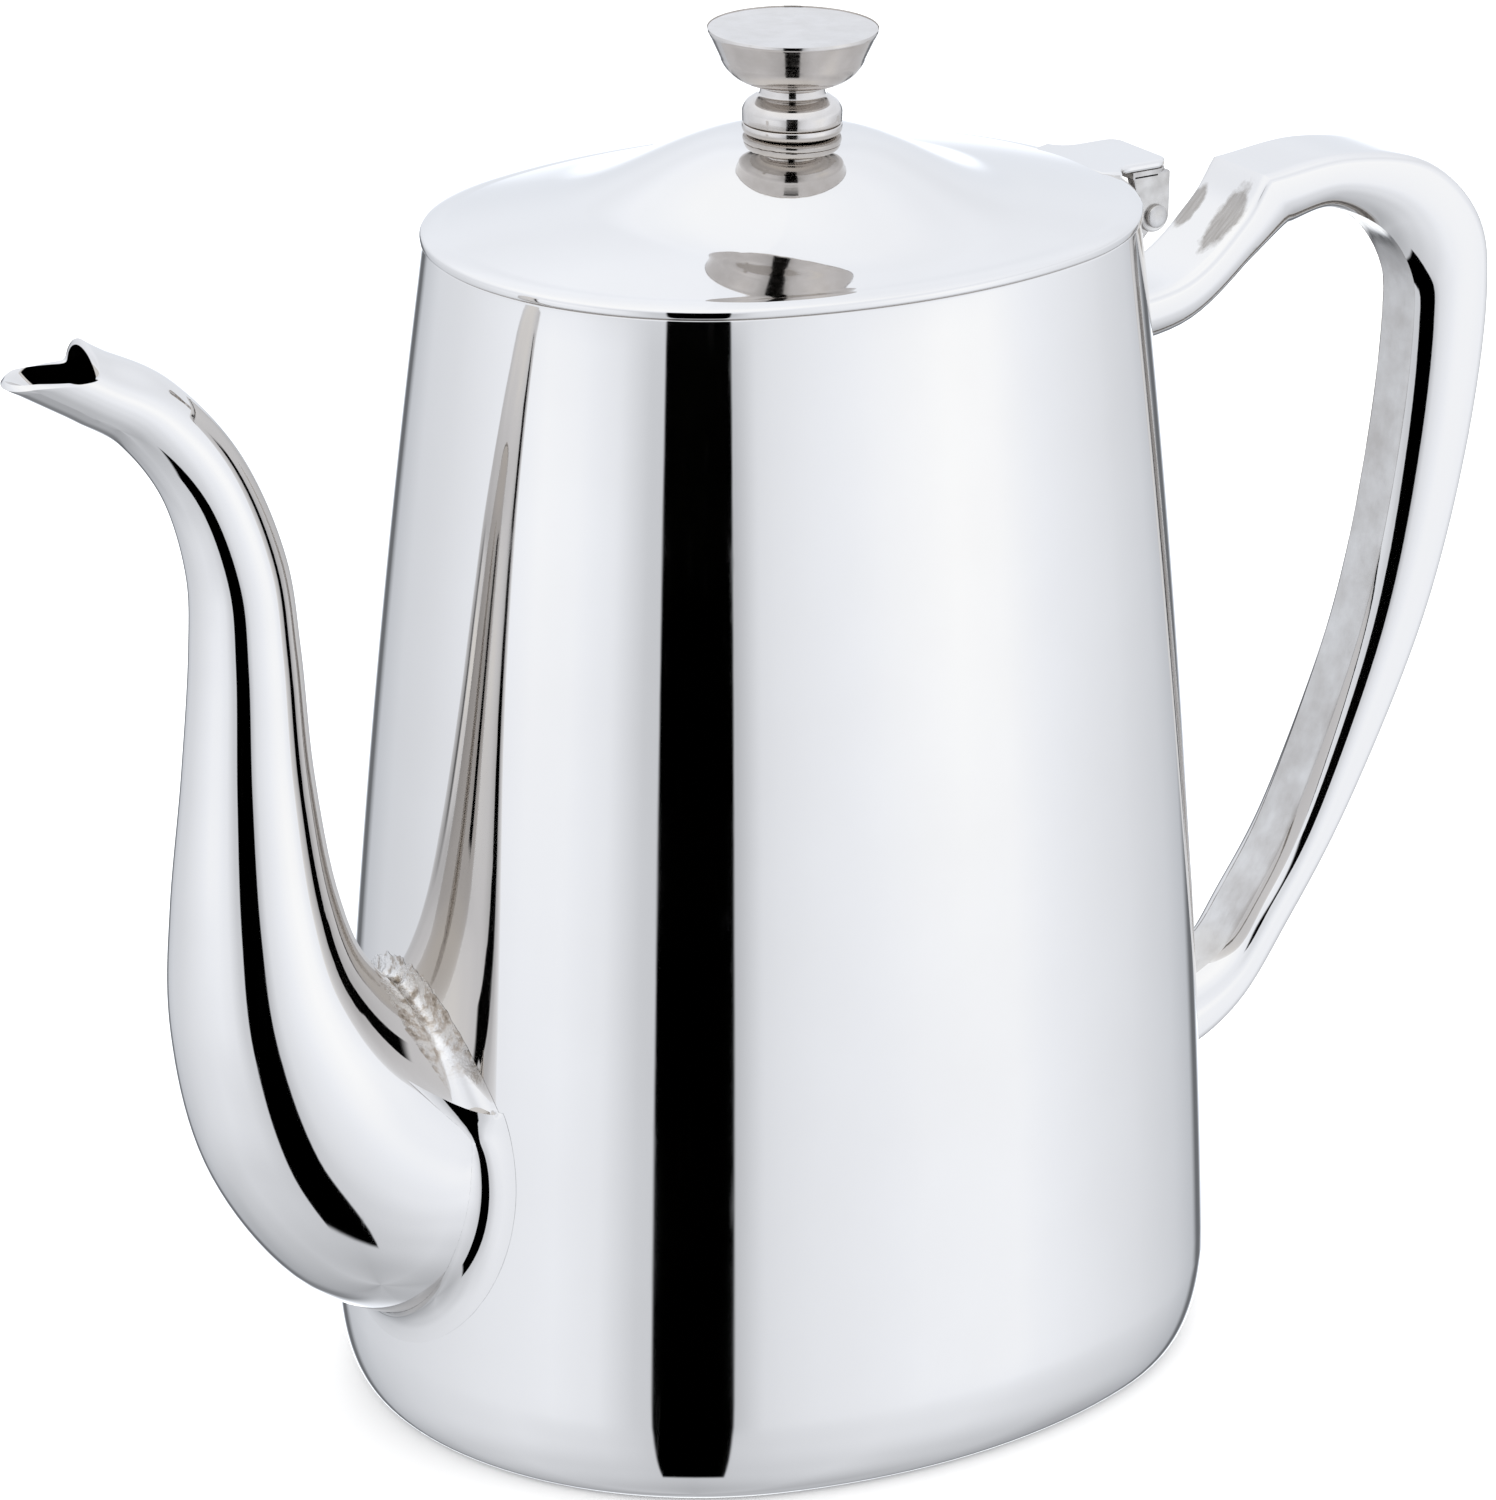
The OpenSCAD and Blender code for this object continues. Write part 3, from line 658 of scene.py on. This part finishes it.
def hollow(a, b, c, steps=8, fullness=0.75):
    """Section of a fillet in the corner b, from a above it to c beside it."""
    pull = b * fullness + (a + c) * (1 - fullness) / 2
    face = [a * (1 - t) ** 2 + pull * 2 * t * (1 - t) + c * t * t for t in spaced(0, 1, steps)]
    return face + [b]


SOLDER_UP = 2.6       # how far the solder climbs the spout
ROUGH_ANGLE = 0.9     # how far round from its top the solder is uneven


def uneven(angle):
    """Swell and dip of the solder's edge, strongest at the top of the spout's root."""
    from_top = abs(((angle + math.pi) % (2 * math.pi)) - math.pi)
    waves = ((31, 0, 1.0), (53, 1, 0.7), (97, 2, 0.6))
    swell = sum(size * math.sin(count * angle + start) for count, start, size in waves)
    return max(0.0, 1 - from_top / ROUGH_ANGLE) * swell


def spout_fillet():
    """A smooth hollow band of solder; at its top it was left rough."""
    sections = 240
    rings = []
    for j in range(sections + 1):
        angle = 2 * math.pi * (j % sections) / sections
        start = spout_start(angle)
        b = spout_point(start, angle)
        run = (spout_point(start + 0.1, angle) - b).length / 0.1
        a = spout_point(start + (SOLDER_UP + 0.3 * uneven(angle)) / run, angle)
        c = beside(b, ROOT_Z, FILLET_W + 0.25 * uneven(angle), -1)
        rings.append(hollow(a, b, c, steps=16, fullness=1.0))
    obj = draw_out("spout_solder", rings, 60, ends="met")
    fit(obj, "pot", "weld_metal", WELD, "spout_fillet")


# ---- Handle ------------------------------------------------------------------------------

# Outer and inner faces, neck to foot: distance from the foot's wall and share of the rise of each
NECK_PATH = [(-14, 0.876, -14, 0.819), (0, 0.892, 1.5, 0.836), (8.6, 0.946, 12.2, 0.896),
             (12.6, 0.992, 18, 0.928)]
GRIP_PATH = [(12.6, 0.992, 18, 0.928), (26, 1, 25.5, 0.936), (39.5, 0.975, 34.3, 0.9),
             (48.4, 0.905, 39.2, 0.845), (50.6, 0.815, 40.1, 0.786), (49.2, 0.672, 39, 0.664),
             (45.2, 0.513, 36, 0.513), (39.6, 0.38, 31.6, 0.385), (30.2, 0.221, 23.4, 0.221),
             (21.6, 0.109, 16.8, 0.132), (13.6, 0.022, 11.6, 0.079), (4, -0.022, 3, 0.048),
             (-8, -0.033, -8, 0.035)]
HANDLE_X = end_x(0, FOOT_Z)
HANDLE_RISE = HANDLE_TOP - FOOT_Z


def mirrored(half):
    return half + [(-a, b) for a, b in reversed(half)]


def shell_edge(t):
    """Right half of the handle's section, from its inner face out to the middle of its back."""
    o, i = OUTER_HALF_W, INNER_HALF_W
    w, h = o - i, 0.6 * t
    r = (w * w + h * h) / (2 * w)
    lean = math.asin(h / r)
    side = [(o - r + r * math.cos(a), h - r * math.sin(a)) for a in spaced(lean, 0, 14)]
    back = rounded([(o, h, 0), (o, t, 1.3), (0, t, 0)], 6)
    return side + back[1:-1] + [((o - 1.3) * share, t) for share in (0.75, 0.5, 0.25, 0.06)]


def shell_section(t):
    edge = mirrored(shell_edge(t))
    core = [(a * (1 - HANDLE_WALL / OUTER_HALF_W) if abs(a) > INNER_HALF_W else a,
             HANDLE_WALL + b * (1 - 2 * HANDLE_WALL / t)) for a, b in edge]
    return edge + core[::-1]


def strip_section(t):
    i = INNER_HALF_W - 0.03
    s = min(HANDLE_WALL, 0.3 * t)
    half = rounded([(i, s, 0), (i, 0.0, 0.15), (0, 0.0, 0)], 3)[:-1] + [(i * 0.6, 0), (i * 0.2, 0)]
    return mirrored(half)


def bead_section(t):
    return mirrored([(INNER_HALF_W / 3, 0)] + shell_edge(t))


def handle_point(path, u, section, k):
    q = along(path, u)
    outer = Vector((HANDLE_X + q[0], 0, FOOT_Z + q[1] * HANDLE_RISE))
    inner = Vector((HANDLE_X + q[2], 0, FOOT_Z + q[3] * HANDLE_RISE))
    t = (outer - inner).length
    y, rise = section(t)[k]
    p = inner + (outer - inner) * rise / t
    return Vector((p.x, y, p.z))


def handle_line(path, section, k, low, high):
    """Place on the path where line k of the section comes out of the wall."""
    def in_the_wall(u):
        p = handle_point(path, u, section, k)
        return p.x < seat_x(p.y, p.z)
    return halfway(in_the_wall, low, high)


def handle_rings(section, neck_steps=22, grip_steps=110):
    lines = range(len(section(8.0)))
    neck_last, grip_last = len(NECK_PATH) - 1, len(GRIP_PATH) - 1
    neck_from = [handle_line(NECK_PATH, section, k, 0, 1.4) for k in lines]
    grip_to = [handle_line(GRIP_PATH, section, k, grip_last, grip_last - 2.2) for k in lines]
    rings = [[handle_point(NECK_PATH, u + (neck_last - u) * i / neck_steps, section, k)
              for k, u in zip(lines, neck_from)] for i in range(neck_steps + 1)]
    rings += [[handle_point(GRIP_PATH, u * i / grip_steps, section, k)
               for k, u in zip(lines, grip_to)] for i in range(1, grip_steps + 1)]
    return rings


def handle_outer():
    obj = draw_out("handle_outer", handle_rings(shell_section), 24)
    fit(obj, "pot", "polished_sheet", HANDLE, "handle_outer_shell")


def handle_inner():
    obj = draw_out("handle_inner", handle_rings(strip_section), 30)
    fit(obj, "pot", "polished_sheet", STRIP, "handle_inner_shell")


def weld_round(name, on_wall, next_ring, node):
    heights = [p.z for p in on_wall]
    middle = (max(heights) + min(heights)) / 2
    rings = []
    for number, (b, ahead) in enumerate(zip(on_wall + on_wall[:1], next_ring + next_ring[:1])):
        ripple = 1 + 0.18 * math.sin(number * 1.9)
        a = b + (ahead - b).normalized() * BEAD * ripple
        rings.append(hollow(a, b, beside(b, middle, BEAD * ripple, 1), fullness=0.35))
    obj = draw_out(name, rings, 60, ends="met")
    fit(obj, "pot", "weld_metal", WELD, node)


def handle_welds():
    rings = handle_rings(bead_section)
    weld_round("handle_upper_weld", rings[0], rings[1], "handle_upper_bead")
    weld_round("handle_lower_weld", rings[-1], rings[-2], "handle_lower_bead")


# ---- Hinge -------------------------------------------------------------------------------

CHEEK_IN = TONGUE_HALF_W - CHEEK_T
LEAF_END = PIN_X + KNUCKLE_R
LEAF_START = MOUTH_HALF_L + 2.6
TONGUE_LIFT = 0.7


def arc(cx, cz, r, first, last, steps):
    return [(cx + r * math.cos(math.radians(a)), cz + r * math.sin(math.radians(a)))
            for a in spaced(first, last, steps)]


def hinge_bracket():
    half = CHEEK_IN - SIDE_PLAY
    low = PIN_Z - 8
    knuckle = arc(PIN_X, PIN_Z, KNUCKLE_R, -60, 120, 16)
    foot = [(seat_x(0, z) - 1.2, z) for z in spaced(PIN_Z + 0.8, low, 8)]
    obj = cut_from_plate("hinge_bracket_cast", knuckle + foot + [(MOUTH_HALF_L + 1.9, low)],
                         -half, half, upright=False, soft=0.3)
    fit(obj, "pot", "cast_fitting", CAST, "hinge_bracket")


def hinge_pin():
    far = TONGUE_HALF_W + HEAD_T
    head = PIN_R + 0.3
    dome = [(head * math.cos(math.radians(a)), far - 0.35 + 0.35 * math.sin(math.radians(a)))
            for a in spaced(0, 90, 8)]
    half = [(PIN_R, 0), (PIN_R, TONGUE_HALF_W), (head, TONGUE_HALF_W + 0.02)] + dome
    outline = [(r, -y) for r, y in reversed(half)] + half[1:]
    obj = turn_on_lathe("hinge_pin_peened", outline, (PIN_X, PIN_Z), axis=(0, 1, 0), steps=40)
    fit(obj, "lid", "cast_fitting", CAST, "hinge_pin")


def hinge_leaf():
    top = LID_LOW + TONGUE_LIFT - 0.01
    plate = [(LEAF_START, -TONGUE_HALF_W), (LEAF_END - 2, -TONGUE_HALF_W)]
    plate += arc(LEAF_END - 2, -TONGUE_HALF_W + 2, 2, -80, -10, 5)
    plate += arc(LEAF_END - 2, TONGUE_HALF_W - 2, 2, 10, 80, 5)
    plate += [(LEAF_END - 2, TONGUE_HALF_W), (LEAF_START, TONGUE_HALF_W)]
    leaf = cut_from_plate("hinge_leaf", plate, top - LEAF_T, top, soft=0.15)
    cheek = [(LEAF_START, top - 0.4), (PIN_X - 0.94 * KNUCKLE_R, PIN_Z - 0.33 * KNUCKLE_R)]
    cheek += arc(PIN_X, PIN_Z, KNUCKLE_R, 205, 355, 14)
    cheek += [(LEAF_END, PIN_Z), (LEAF_END, top - 0.4)]
    cheeks = [cut_from_plate("hinge_cheek", cheek, y, y + CHEEK_T, upright=False, soft=0.25)
              for y in (-TONGUE_HALF_W, CHEEK_IN)]
    join(leaf, *cheeks)
    fit(leaf, "lid", "cast_fitting", CAST, "lid_hinge_leaf")


# ---- Lid ---------------------------------------------------------------------------------

def lid_rise(q):
    """Height of the lid's upper face above its edge, q in from the edge."""
    crown_in = 1.18 * FLAT_IN
    brim, slope = 0.465 * FLAT_IN, 0.465 * FLAT_IN
    t = min(1.0, max(0.0, (q - brim) / slope))
    return LID_CROWN * (1 - (1 - q / crown_in) ** 2) + DOME_STEP * t * t * (3 - 2 * t)


DOME_TOP = LID_Z + lid_rise(FLAT_IN)


def from_edge(x, y):
    """How far a point of the lid lies in from the lid's edge."""
    x, y = abs(x), abs(y)
    if math.atan2(y, x - END_CX) < JOINT_A:
        return END_R + LID_LAP - math.hypot(x - END_CX, y)
    return MOUTH_HALF_W + SIDE_CY + LID_LAP - math.hypot(x, y + SIDE_CY)


DOME_HALF_L = 28.5
DOME_HALF_W = 31.5
DOME_FLAT_R = 7.0
DOME_RISE = 6.2
BRIM_RISE = 4.2
BRIM_REACH = 37.0
BEND_AT = 0.9         # the brim's plain edge, and how far in the dome takes over from it
BEND_W = 2.0


def domed(x, y):
    """Height of the finished lid above its edge: a low crown with a nearly round dome on it."""
    q = from_edge(x, y)
    out = math.hypot((x - KNOB_X) * DOME_HALF_W / DOME_HALF_L, y)
    t = min(1.0, max(0.0, (DOME_HALF_W - out) / (DOME_HALF_W - DOME_FLAT_R)))
    return BRIM_RISE * (1 - (1 - q / BRIM_REACH) ** 2) + DOME_RISE * t * t * (3 - 2 * t)


def tongue_outline():
    """The tongue seen from above: it leaves the lid's edge in two small hollows."""
    w, f, r = TONGUE_HALF_W, 3.0, 2.0
    edge_r = END_R + LID_LAP
    root_x = END_CX + math.sqrt((edge_r + f) ** 2 - (w + f) ** 2)
    lean = math.degrees(math.asin((w + f) / (edge_r + f)))
    hollow_arc = [(root_x + f * math.cos(math.radians(a)), w + f + f * math.sin(math.radians(a)))
                  for a in spaced(-90, -180 + lean, 8)]
    tip = [(LEAF_END - r + r * math.cos(math.radians(a)), w - r + r * math.sin(math.radians(a)))
           for a in spaced(0, 90, 7)]
    half = tip + hollow_arc + [(hollow_arc[-1][0] - 2.6, hollow_arc[-1][1] - 1.0)]
    root = MOUTH_HALF_L - 3.6
    return [(x, -y) for x, y in reversed(half)][:-1] + half + [(root, 4.0), (root, -4.0)]


def lid_cover():
    q_in = spaced(FLAT_IN, BEND_AT, 56)
    upper = [(LID_LAP - q, LID_Z + lid_rise(q)) for q in q_in]
    lower = [(LID_LAP - q, LID_Z + lid_rise(q) - LID_WALL)
             for q in spaced(LID_EDGE_W + 0.2, FLAT_IN, 40)]
    edge = rounded([(LID_LAP - BEND_AT, LID_Z + lid_rise(BEND_AT), 0), (LID_LAP, LID_Z, 0.45),
                    (LID_LAP, LID_LOW, 0.35), (LID_LAP - LID_EDGE_W, LID_LOW, 0.2),
                    (LID_LAP - LID_EDGE_W, LID_Z, 0)], 5)
    obj = press_oval("lid_cover", upper + edge[1:-1] + lower, crisp_angle=40)
    bpy.ops.object.mode_set(mode="EDIT")
    bpy.ops.mesh.select_all(action="DESELECT")
    bpy.ops.mesh.select_non_manifold()
    for scale in (0.86, 0.82, 0.78, 0.72, 0.62, 0.45, 0.15):
        bpy.ops.mesh.extrude_edges_indiv()
        bpy.ops.transform.resize(value=(scale, scale, 1), center_override=(0, 0, 0))
    bpy.ops.mesh.fill_holes(sides=0)
    mesh = bmesh.from_edit_mesh(obj.data)
    for v in mesh.verts:
        x, y, z = v.co / MM
        q = from_edge(x, y)
        if q < BEND_AT or z < LID_Z + 0.02:
            continue
        plain = LID_Z + lid_rise(min(q, FLAT_IN))
        under = LID_WALL if z < plain - LID_WALL / 2 else 0
        share = min(1.0, (q - BEND_AT) / BEND_W)
        top = LID_Z + domed(x, y) * share + lid_rise(min(q, FLAT_IN)) * (1 - share)
        v.co.z = (top - under) * MM
    bmesh.update_edit_mesh(obj.data)
    fill_open_ends()
    close_up(40)
    tongue = cut_from_plate("lid_tongue", tongue_outline(), LID_LOW + TONGUE_LIFT,
                            LID_Z + TONGUE_LIFT, soft=0.35)
    join(obj, tongue)
    fit(obj, "lid", "polished_sheet", POLISHED, "lid_shell")


def lid_skirt():
    out = -WALL - BAND_T - SKIRT_PLAY
    inside = out - SKIRT_T
    low = BODY_H - SKIRT_H
    roof = [LID_Z + lid_rise(LID_LAP - x) - LID_WALL for x in (out, inside)]
    obj = press_oval("lid_skirt_ring", rounded([
        (out, roof[0] - 1, 0), (out, low, 0.25), (inside, low, 0.25), (inside, roof[1], 0),
        (out, roof[0], 0), (out, roof[0] - 1, 0)]))
    bpy.ops.object.mode_set(mode="EDIT")
    bpy.ops.mesh.select_all(action="SELECT")
    bpy.ops.mesh.bisect(plane_co=((PIN_X - SKIRT_CUT) * MM, 0, 0), plane_no=(1, 0, 0),
                        use_fill=True, clear_outer=True)
    close_up()
    fit(obj, "lid", "satin_sheet", SATIN, "lid_skirt")


# ---- Knob --------------------------------------------------------------------------------

KNOB_Z = DOME_TOP + RING_T


def knob():
    collar = rounded([(0, 0, 0), (COLLAR_R, 0, 0.25), (COLLAR_R, 1.6, 0.35), (5.7, 2.5, 0.4),
                      (4.6, 3.2, 0.4), (4.1, 3.35, 0.3), (3.9, 4.3, 0)], 4)
    bowl = [(4.2 + 5.0 * math.sin(math.radians(a)), 4.8 + 4.5 * (1 - math.cos(math.radians(a))))
            for a in spaced(0, 78, 22)]
    top = rounded([(bowl[-1][0], bowl[-1][1], 0), (KNOB_R, KNOB_H - 0.3, 0.4),
                   (KNOB_R, KNOB_H, 0.2), (KNOB_R - 1, KNOB_H, 0)], 4)
    face = [(9.0, KNOB_H - 0.02), (7.0, KNOB_H - 0.05), (4.0, KNOB_H - 0.07), (0, KNOB_H - 0.08)]
    obj = turn_on_lathe("knob_turned", collar + bowl + top[1:] + face, (KNOB_X, KNOB_Z),
                        steps=128, crisp_angle=28)
    fit(obj, "lid", "turned_steel", TURNED, "knob")


def knob_ring():
    obj = turn_on_lathe("knob_ring_turned", rounded([
        (HOLE_R, 0, 0), (COLLAR_R - 0.9, 0, 0.1), (COLLAR_R - 0.2, 0.3, 0.2), (COLLAR_R, 0.7, 0.2),
        (COLLAR_R, RING_T - 0.12, 0.2), (COLLAR_R - 0.3, RING_T - 0.12, 0.15),
        (COLLAR_R - 0.45, RING_T, 0.1), (HOLE_R, RING_T, 0), (HOLE_R, 0, 0)], 3),
        (KNOB_X, DOME_TOP), steps=128)
    fit(obj, "lid", "turned_steel", TURNED, "knob_ring")


WASHER_Z = DOME_TOP - LID_WALL - 1.0
SPRING_Z = WASHER_Z - 1.1


def knob_fasteners():
    head_z = SPRING_Z - 2.6
    length = KNOB_Z + 6.0 - head_z
    screw = turn_on_lathe("knob_screw_slotted", rounded([
        (0, 0, 0), (2.8, 0.15, 0.6), (4, 1.2, 0.6), (4, 2.6, 0.15), (SCREW_R, 2.6, 0),
        (SCREW_R, length - 0.4, 0), (SCREW_R - 0.4, length, 0), (0, length, 0)], 4),
        (KNOB_X, head_z), steps=64)
    slot_box = [(KNOB_X - 5, -0.5), (KNOB_X + 5, -0.5), (KNOB_X + 5, 0.5), (KNOB_X - 5, 0.5)]
    cut_away(screw, cut_from_plate("screw_slot", slot_box, head_z - 1, head_z + 1.2, soft=0.01))
    fit(screw, "lid", "fastener_steel", FASTENER, "knob_screw")

    flat = turn_on_lathe("knob_flat_washer_pressed", rounded([
        (HOLE_R, 0.5, 0), (HOLE_R, 0, 0.15), (5, 0, 0.25), (5, 1.0, 0.15), (HOLE_R, 1.0, 0.15),
        (HOLE_R, 0.5, 0)], 3), (KNOB_X, WASHER_Z), steps=80)
    fit(flat, "lid", "fastener_steel", FASTENER, "knob_flat_washer")

    spring = turn_on_lathe("knob_spring_washer_split", rounded([
        (HOLE_R, 0.5, 0), (HOLE_R, 0, 0.1), (4, 0, 0.1), (4, 1.1, 0.1), (HOLE_R, 1.1, 0.1),
        (HOLE_R, 0.5, 0)], 2), (KNOB_X, SPRING_Z), steps=80)
    gap = [(KNOB_X, -0.2), (KNOB_X + 6, -0.6), (KNOB_X + 6, 0.2), (KNOB_X, 0.6)]
    cut_away(spring, cut_from_plate("washer_gap", gap, SPRING_Z - 1, SPRING_Z + 2, soft=0.01))
    fit(spring, "lid", "fastener_steel", FASTENER, "knob_spring_washer")


body_wall()
base_disc()
mouth_band()
spout_tube()
spout_fillet()
handle_outer()
handle_inner()
handle_welds()
hinge_bracket()
hinge_pin()
hinge_leaf()
lid_cover()
lid_skirt()
knob()
knob_ring()
knob_fasteners()


# ---- Stage, light and camera -------------------------------------------------------------

def pale_floor():
    bpy.ops.object.select_all(action="DESELECT")
    bpy.ops.mesh.primitive_plane_add(size=6, location=(0, 0, -0.0001))
    floor = bpy.context.active_object
    floor.name = "floor"
    paper = bpy.data.materials.new("white_paper")
    paper.use_nodes = True
    shader = paper.node_tree.nodes["Principled BSDF"]
    shader.inputs["Base Color"].default_value = (0.92, 0.92, 0.92, 1)
    shader.inputs["Roughness"].default_value = 0.9
    shader.inputs["Specular IOR Level"].default_value = 0.0
    floor.data.materials.append(paper)
    floor.visible_glossy = False


OPENING_AZIMUTH = math.radians(-123.3)
LIGHT_IN_STEEL = 1.6
LIGHT_ON_PAPER = 1.7


def light_tent():
    """An even white tent with one tall dark opening, greyer towards the tent's open sides."""
    world = bpy.data.worlds.new("light_tent")
    bpy.context.scene.world = world
    world.use_nodes = True
    tree = world.node_tree
    background = tree.nodes["Background"]

    def math_node(operation, *values):
        node = tree.nodes.new("ShaderNodeMath")
        node.operation = operation
        for value, socket in zip(values, node.inputs):
            if isinstance(value, (int, float)):
                socket.default_value = value
            else:
                tree.links.new(value, socket)
        return node.outputs[0]

    def grey_by(value, stops):
        node = tree.nodes.new("ShaderNodeValToRGB")
        ramp = node.color_ramp
        while len(ramp.elements) < len(stops):
            ramp.elements.new(0.5)
        for element, (place, grey) in zip(ramp.elements, stops):
            element.position = place
            element.color = (grey, grey, grey, 1)
        tree.links.new(value, node.inputs["Fac"])
        return node.outputs["Color"]

    def smooth(value, first, last, low=0.0, high=1.0):
        node = tree.nodes.new("ShaderNodeMapRange")
        node.interpolation_type = "SMOOTHSTEP"
        node.inputs["From Min"].default_value = first
        node.inputs["From Max"].default_value = last
        node.inputs["To Min"].default_value = low
        node.inputs["To Max"].default_value = high
        tree.links.new(value, node.inputs["Value"])
        return node.outputs["Result"]

    where = tree.nodes.new("ShaderNodeTexCoord").outputs["Generated"]
    apart = tree.nodes.new("ShaderNodeSeparateXYZ")
    tree.links.new(where, apart.inputs[0])
    x, y, z = apart.outputs
    azimuth = math_node("ARCTAN2", y, x)
    turned = math_node("SUBTRACT", azimuth, OPENING_AZIMUTH)
    from_opening = math_node("WRAP", turned, math.pi, -math.pi)

    # Greys of the tent at each height, all round it: degrees from the opening, then the grey
    heights = [
        (-75, [(-170, .46), (-150, .38), (-110, .46), (-70, .54), (-30, .50), (0, .45), (50, .52),
               (90, .44), (120, .48), (170, .44)]),
        (-52, [(-178, 1), (-168, .7), (-162, .2), (-156, .2), (-148, .35), (-130, .44),
               (-110, .55), (-70, .66), (-30, .62), (0, .55), (30, .62), (50, .68), (70, .62),
               (100, .55), (120, .42), (148, .32), (156, .2), (162, .2), (168, .7), (178, 1)]),
        (-37, [(-178, 1), (-168, 1), (-161, .12), (-155, .12), (-148, .40), (-130, .54),
               (-110, .64), (-90, .71), (-60, .77), (-30, .71), (-14, .60), (14, .62), (30, .69),
               (50, .77), (70, .77), (90, .70), (110, .62), (130, .50), (148, .38), (154, .12),
               (160, .12), (168, 1), (178, 1)]),
        (-22, [(-178, 1), (-168, 1), (-161, .12), (-155, .12), (-148, .48), (-130, .61),
               (-110, .67), (-90, .74), (-70, .80), (-45, .85), (-30, .80), (-18, .62), (14, .55),
               (22, .72), (35, .80), (55, .88), (75, .90), (90, .82), (110, .70), (130, .60),
               (148, .45), (154, .12), (160, .12), (168, 1), (178, 1)]),
        (-7, [(-178, 1), (-168, 1), (-161, .12), (-155, .12), (-148, .5), (-130, .67), (-110, .72),
              (-90, .80), (-60, .92), (-45, .90), (-30, .82), (-18, .6), (14, .5), (22, .74),
              (35, .83), (50, .91), (65, .96), (75, .945), (90, .84), (110, .72), (130, .64),
              (148, .5), (154, .12), (160, .12), (168, 1), (178, 1)]),
        (5, [(-180, .67), (-150, .69), (-120, .72), (-50, .82), (-18, .65), (18, .68), (40, .85),
             (75, .9), (110, .82), (150, .72), (180, .67)]),
        (22, [(-180, .78), (-130, .82), (-60, .85), (0, .85), (60, .84), (90, .8), (130, .75),
              (180, .77)]),
        (37, [(-180, .87), (-150, .9), (-60, .92), (0, .92), (90, .87), (140, .82), (180, .85)]),
        (55, [(-180, .91), (-140, .95), (-60, .97), (60, .95), (120, .88), (180, .89)]),
        (80, [(-180, .94), (180, .94)]),
    ]
    round_share = math_node("ADD", math_node("DIVIDE", from_opening, 2 * math.pi), 0.5)
    height = math_node("ARCSINE", z)
    grey = None
    for number, (degrees, stops) in enumerate(heights):
        ring = grey_by(round_share, [((a + 180) / 360, v) for a, v in stops])
        if grey is None:
            grey = ring
            continue
        rise = smooth(height, math.radians(heights[number - 1][0]), math.radians(degrees))
        blend = tree.nodes.new("ShaderNodeMix")
        blend.data_type = "FLOAT"
        tree.links.new(rise, blend.inputs["Factor"])
        tree.links.new(grey, blend.inputs["A"])
        tree.links.new(ring, blend.inputs["B"])
        grey = blend.outputs[0]
    shut = smooth(math_node("ABSOLUTE", from_opening), math.radians(12.2), math.radians(13.3))
    over = smooth(height, math.radians(18), math.radians(22))
    under = smooth(height, math.radians(-55), math.radians(-58))
    outside = math_node("MAXIMUM", shut, math_node("MAXIMUM", over, under))
    grey = math_node("MULTIPLY", grey, outside)

    cool = tree.nodes.new("ShaderNodeMix")
    cool.data_type = "RGBA"
    cool.inputs["A"].default_value = (0.93, 0.985, 1.075, 1)
    cool.inputs["B"].default_value = (0.962, 1, 1.04, 1)
    tree.links.new(smooth(grey, 0.85, 1.0), cool.inputs["Factor"])
    tint = tree.nodes.new("ShaderNodeVectorMath")
    tint.operation = "SCALE"
    tree.links.new(cool.outputs["Result"], tint.inputs[0])
    tree.links.new(math_node("MULTIPLY", grey, LIGHT_IN_STEEL), tint.inputs["Scale"])

    mirror = tree.nodes.new("ShaderNodeLightPath").outputs["Is Glossy Ray"]
    seen = tree.nodes.new("ShaderNodeMix")
    seen.data_type = "RGBA"
    seen.inputs["A"].default_value = (*[LIGHT_ON_PAPER] * 3, 1)
    tree.links.new(mirror, seen.inputs["Factor"])
    tree.links.new(tint.outputs[0], seen.inputs["B"])
    tree.links.new(seen.outputs["Result"], background.inputs["Color"])


def camera():
    data = bpy.data.cameras.new("camera")
    data.sensor_width = 36
    data.sensor_height = 36
    data.sensor_fit = "AUTO"
    data.lens = 143.78
    data.clip_start = 0.05
    data.clip_end = 20
    obj = bpy.data.objects.new("camera", data)
    bpy.context.scene.collection.objects.link(obj)
    ahead = Vector((0.50746602, 0.78216340, -0.36152270))
    right = Vector((0.84047180, -0.54180256, 0.00755901))
    up = Vector((0.18996154, 0.30768558, 0.93233267))
    turn = Matrix((right, up, -ahead)).transposed().to_4x4()
    obj.matrix_world = Matrix.Translation(Vector((-390.598, -594.790, 356.407)) * MM) @ turn
    bpy.context.scene.camera = obj


pale_floor()
light_tent()
camera()
bpy.context.scene.view_settings.view_transform = "Standard"
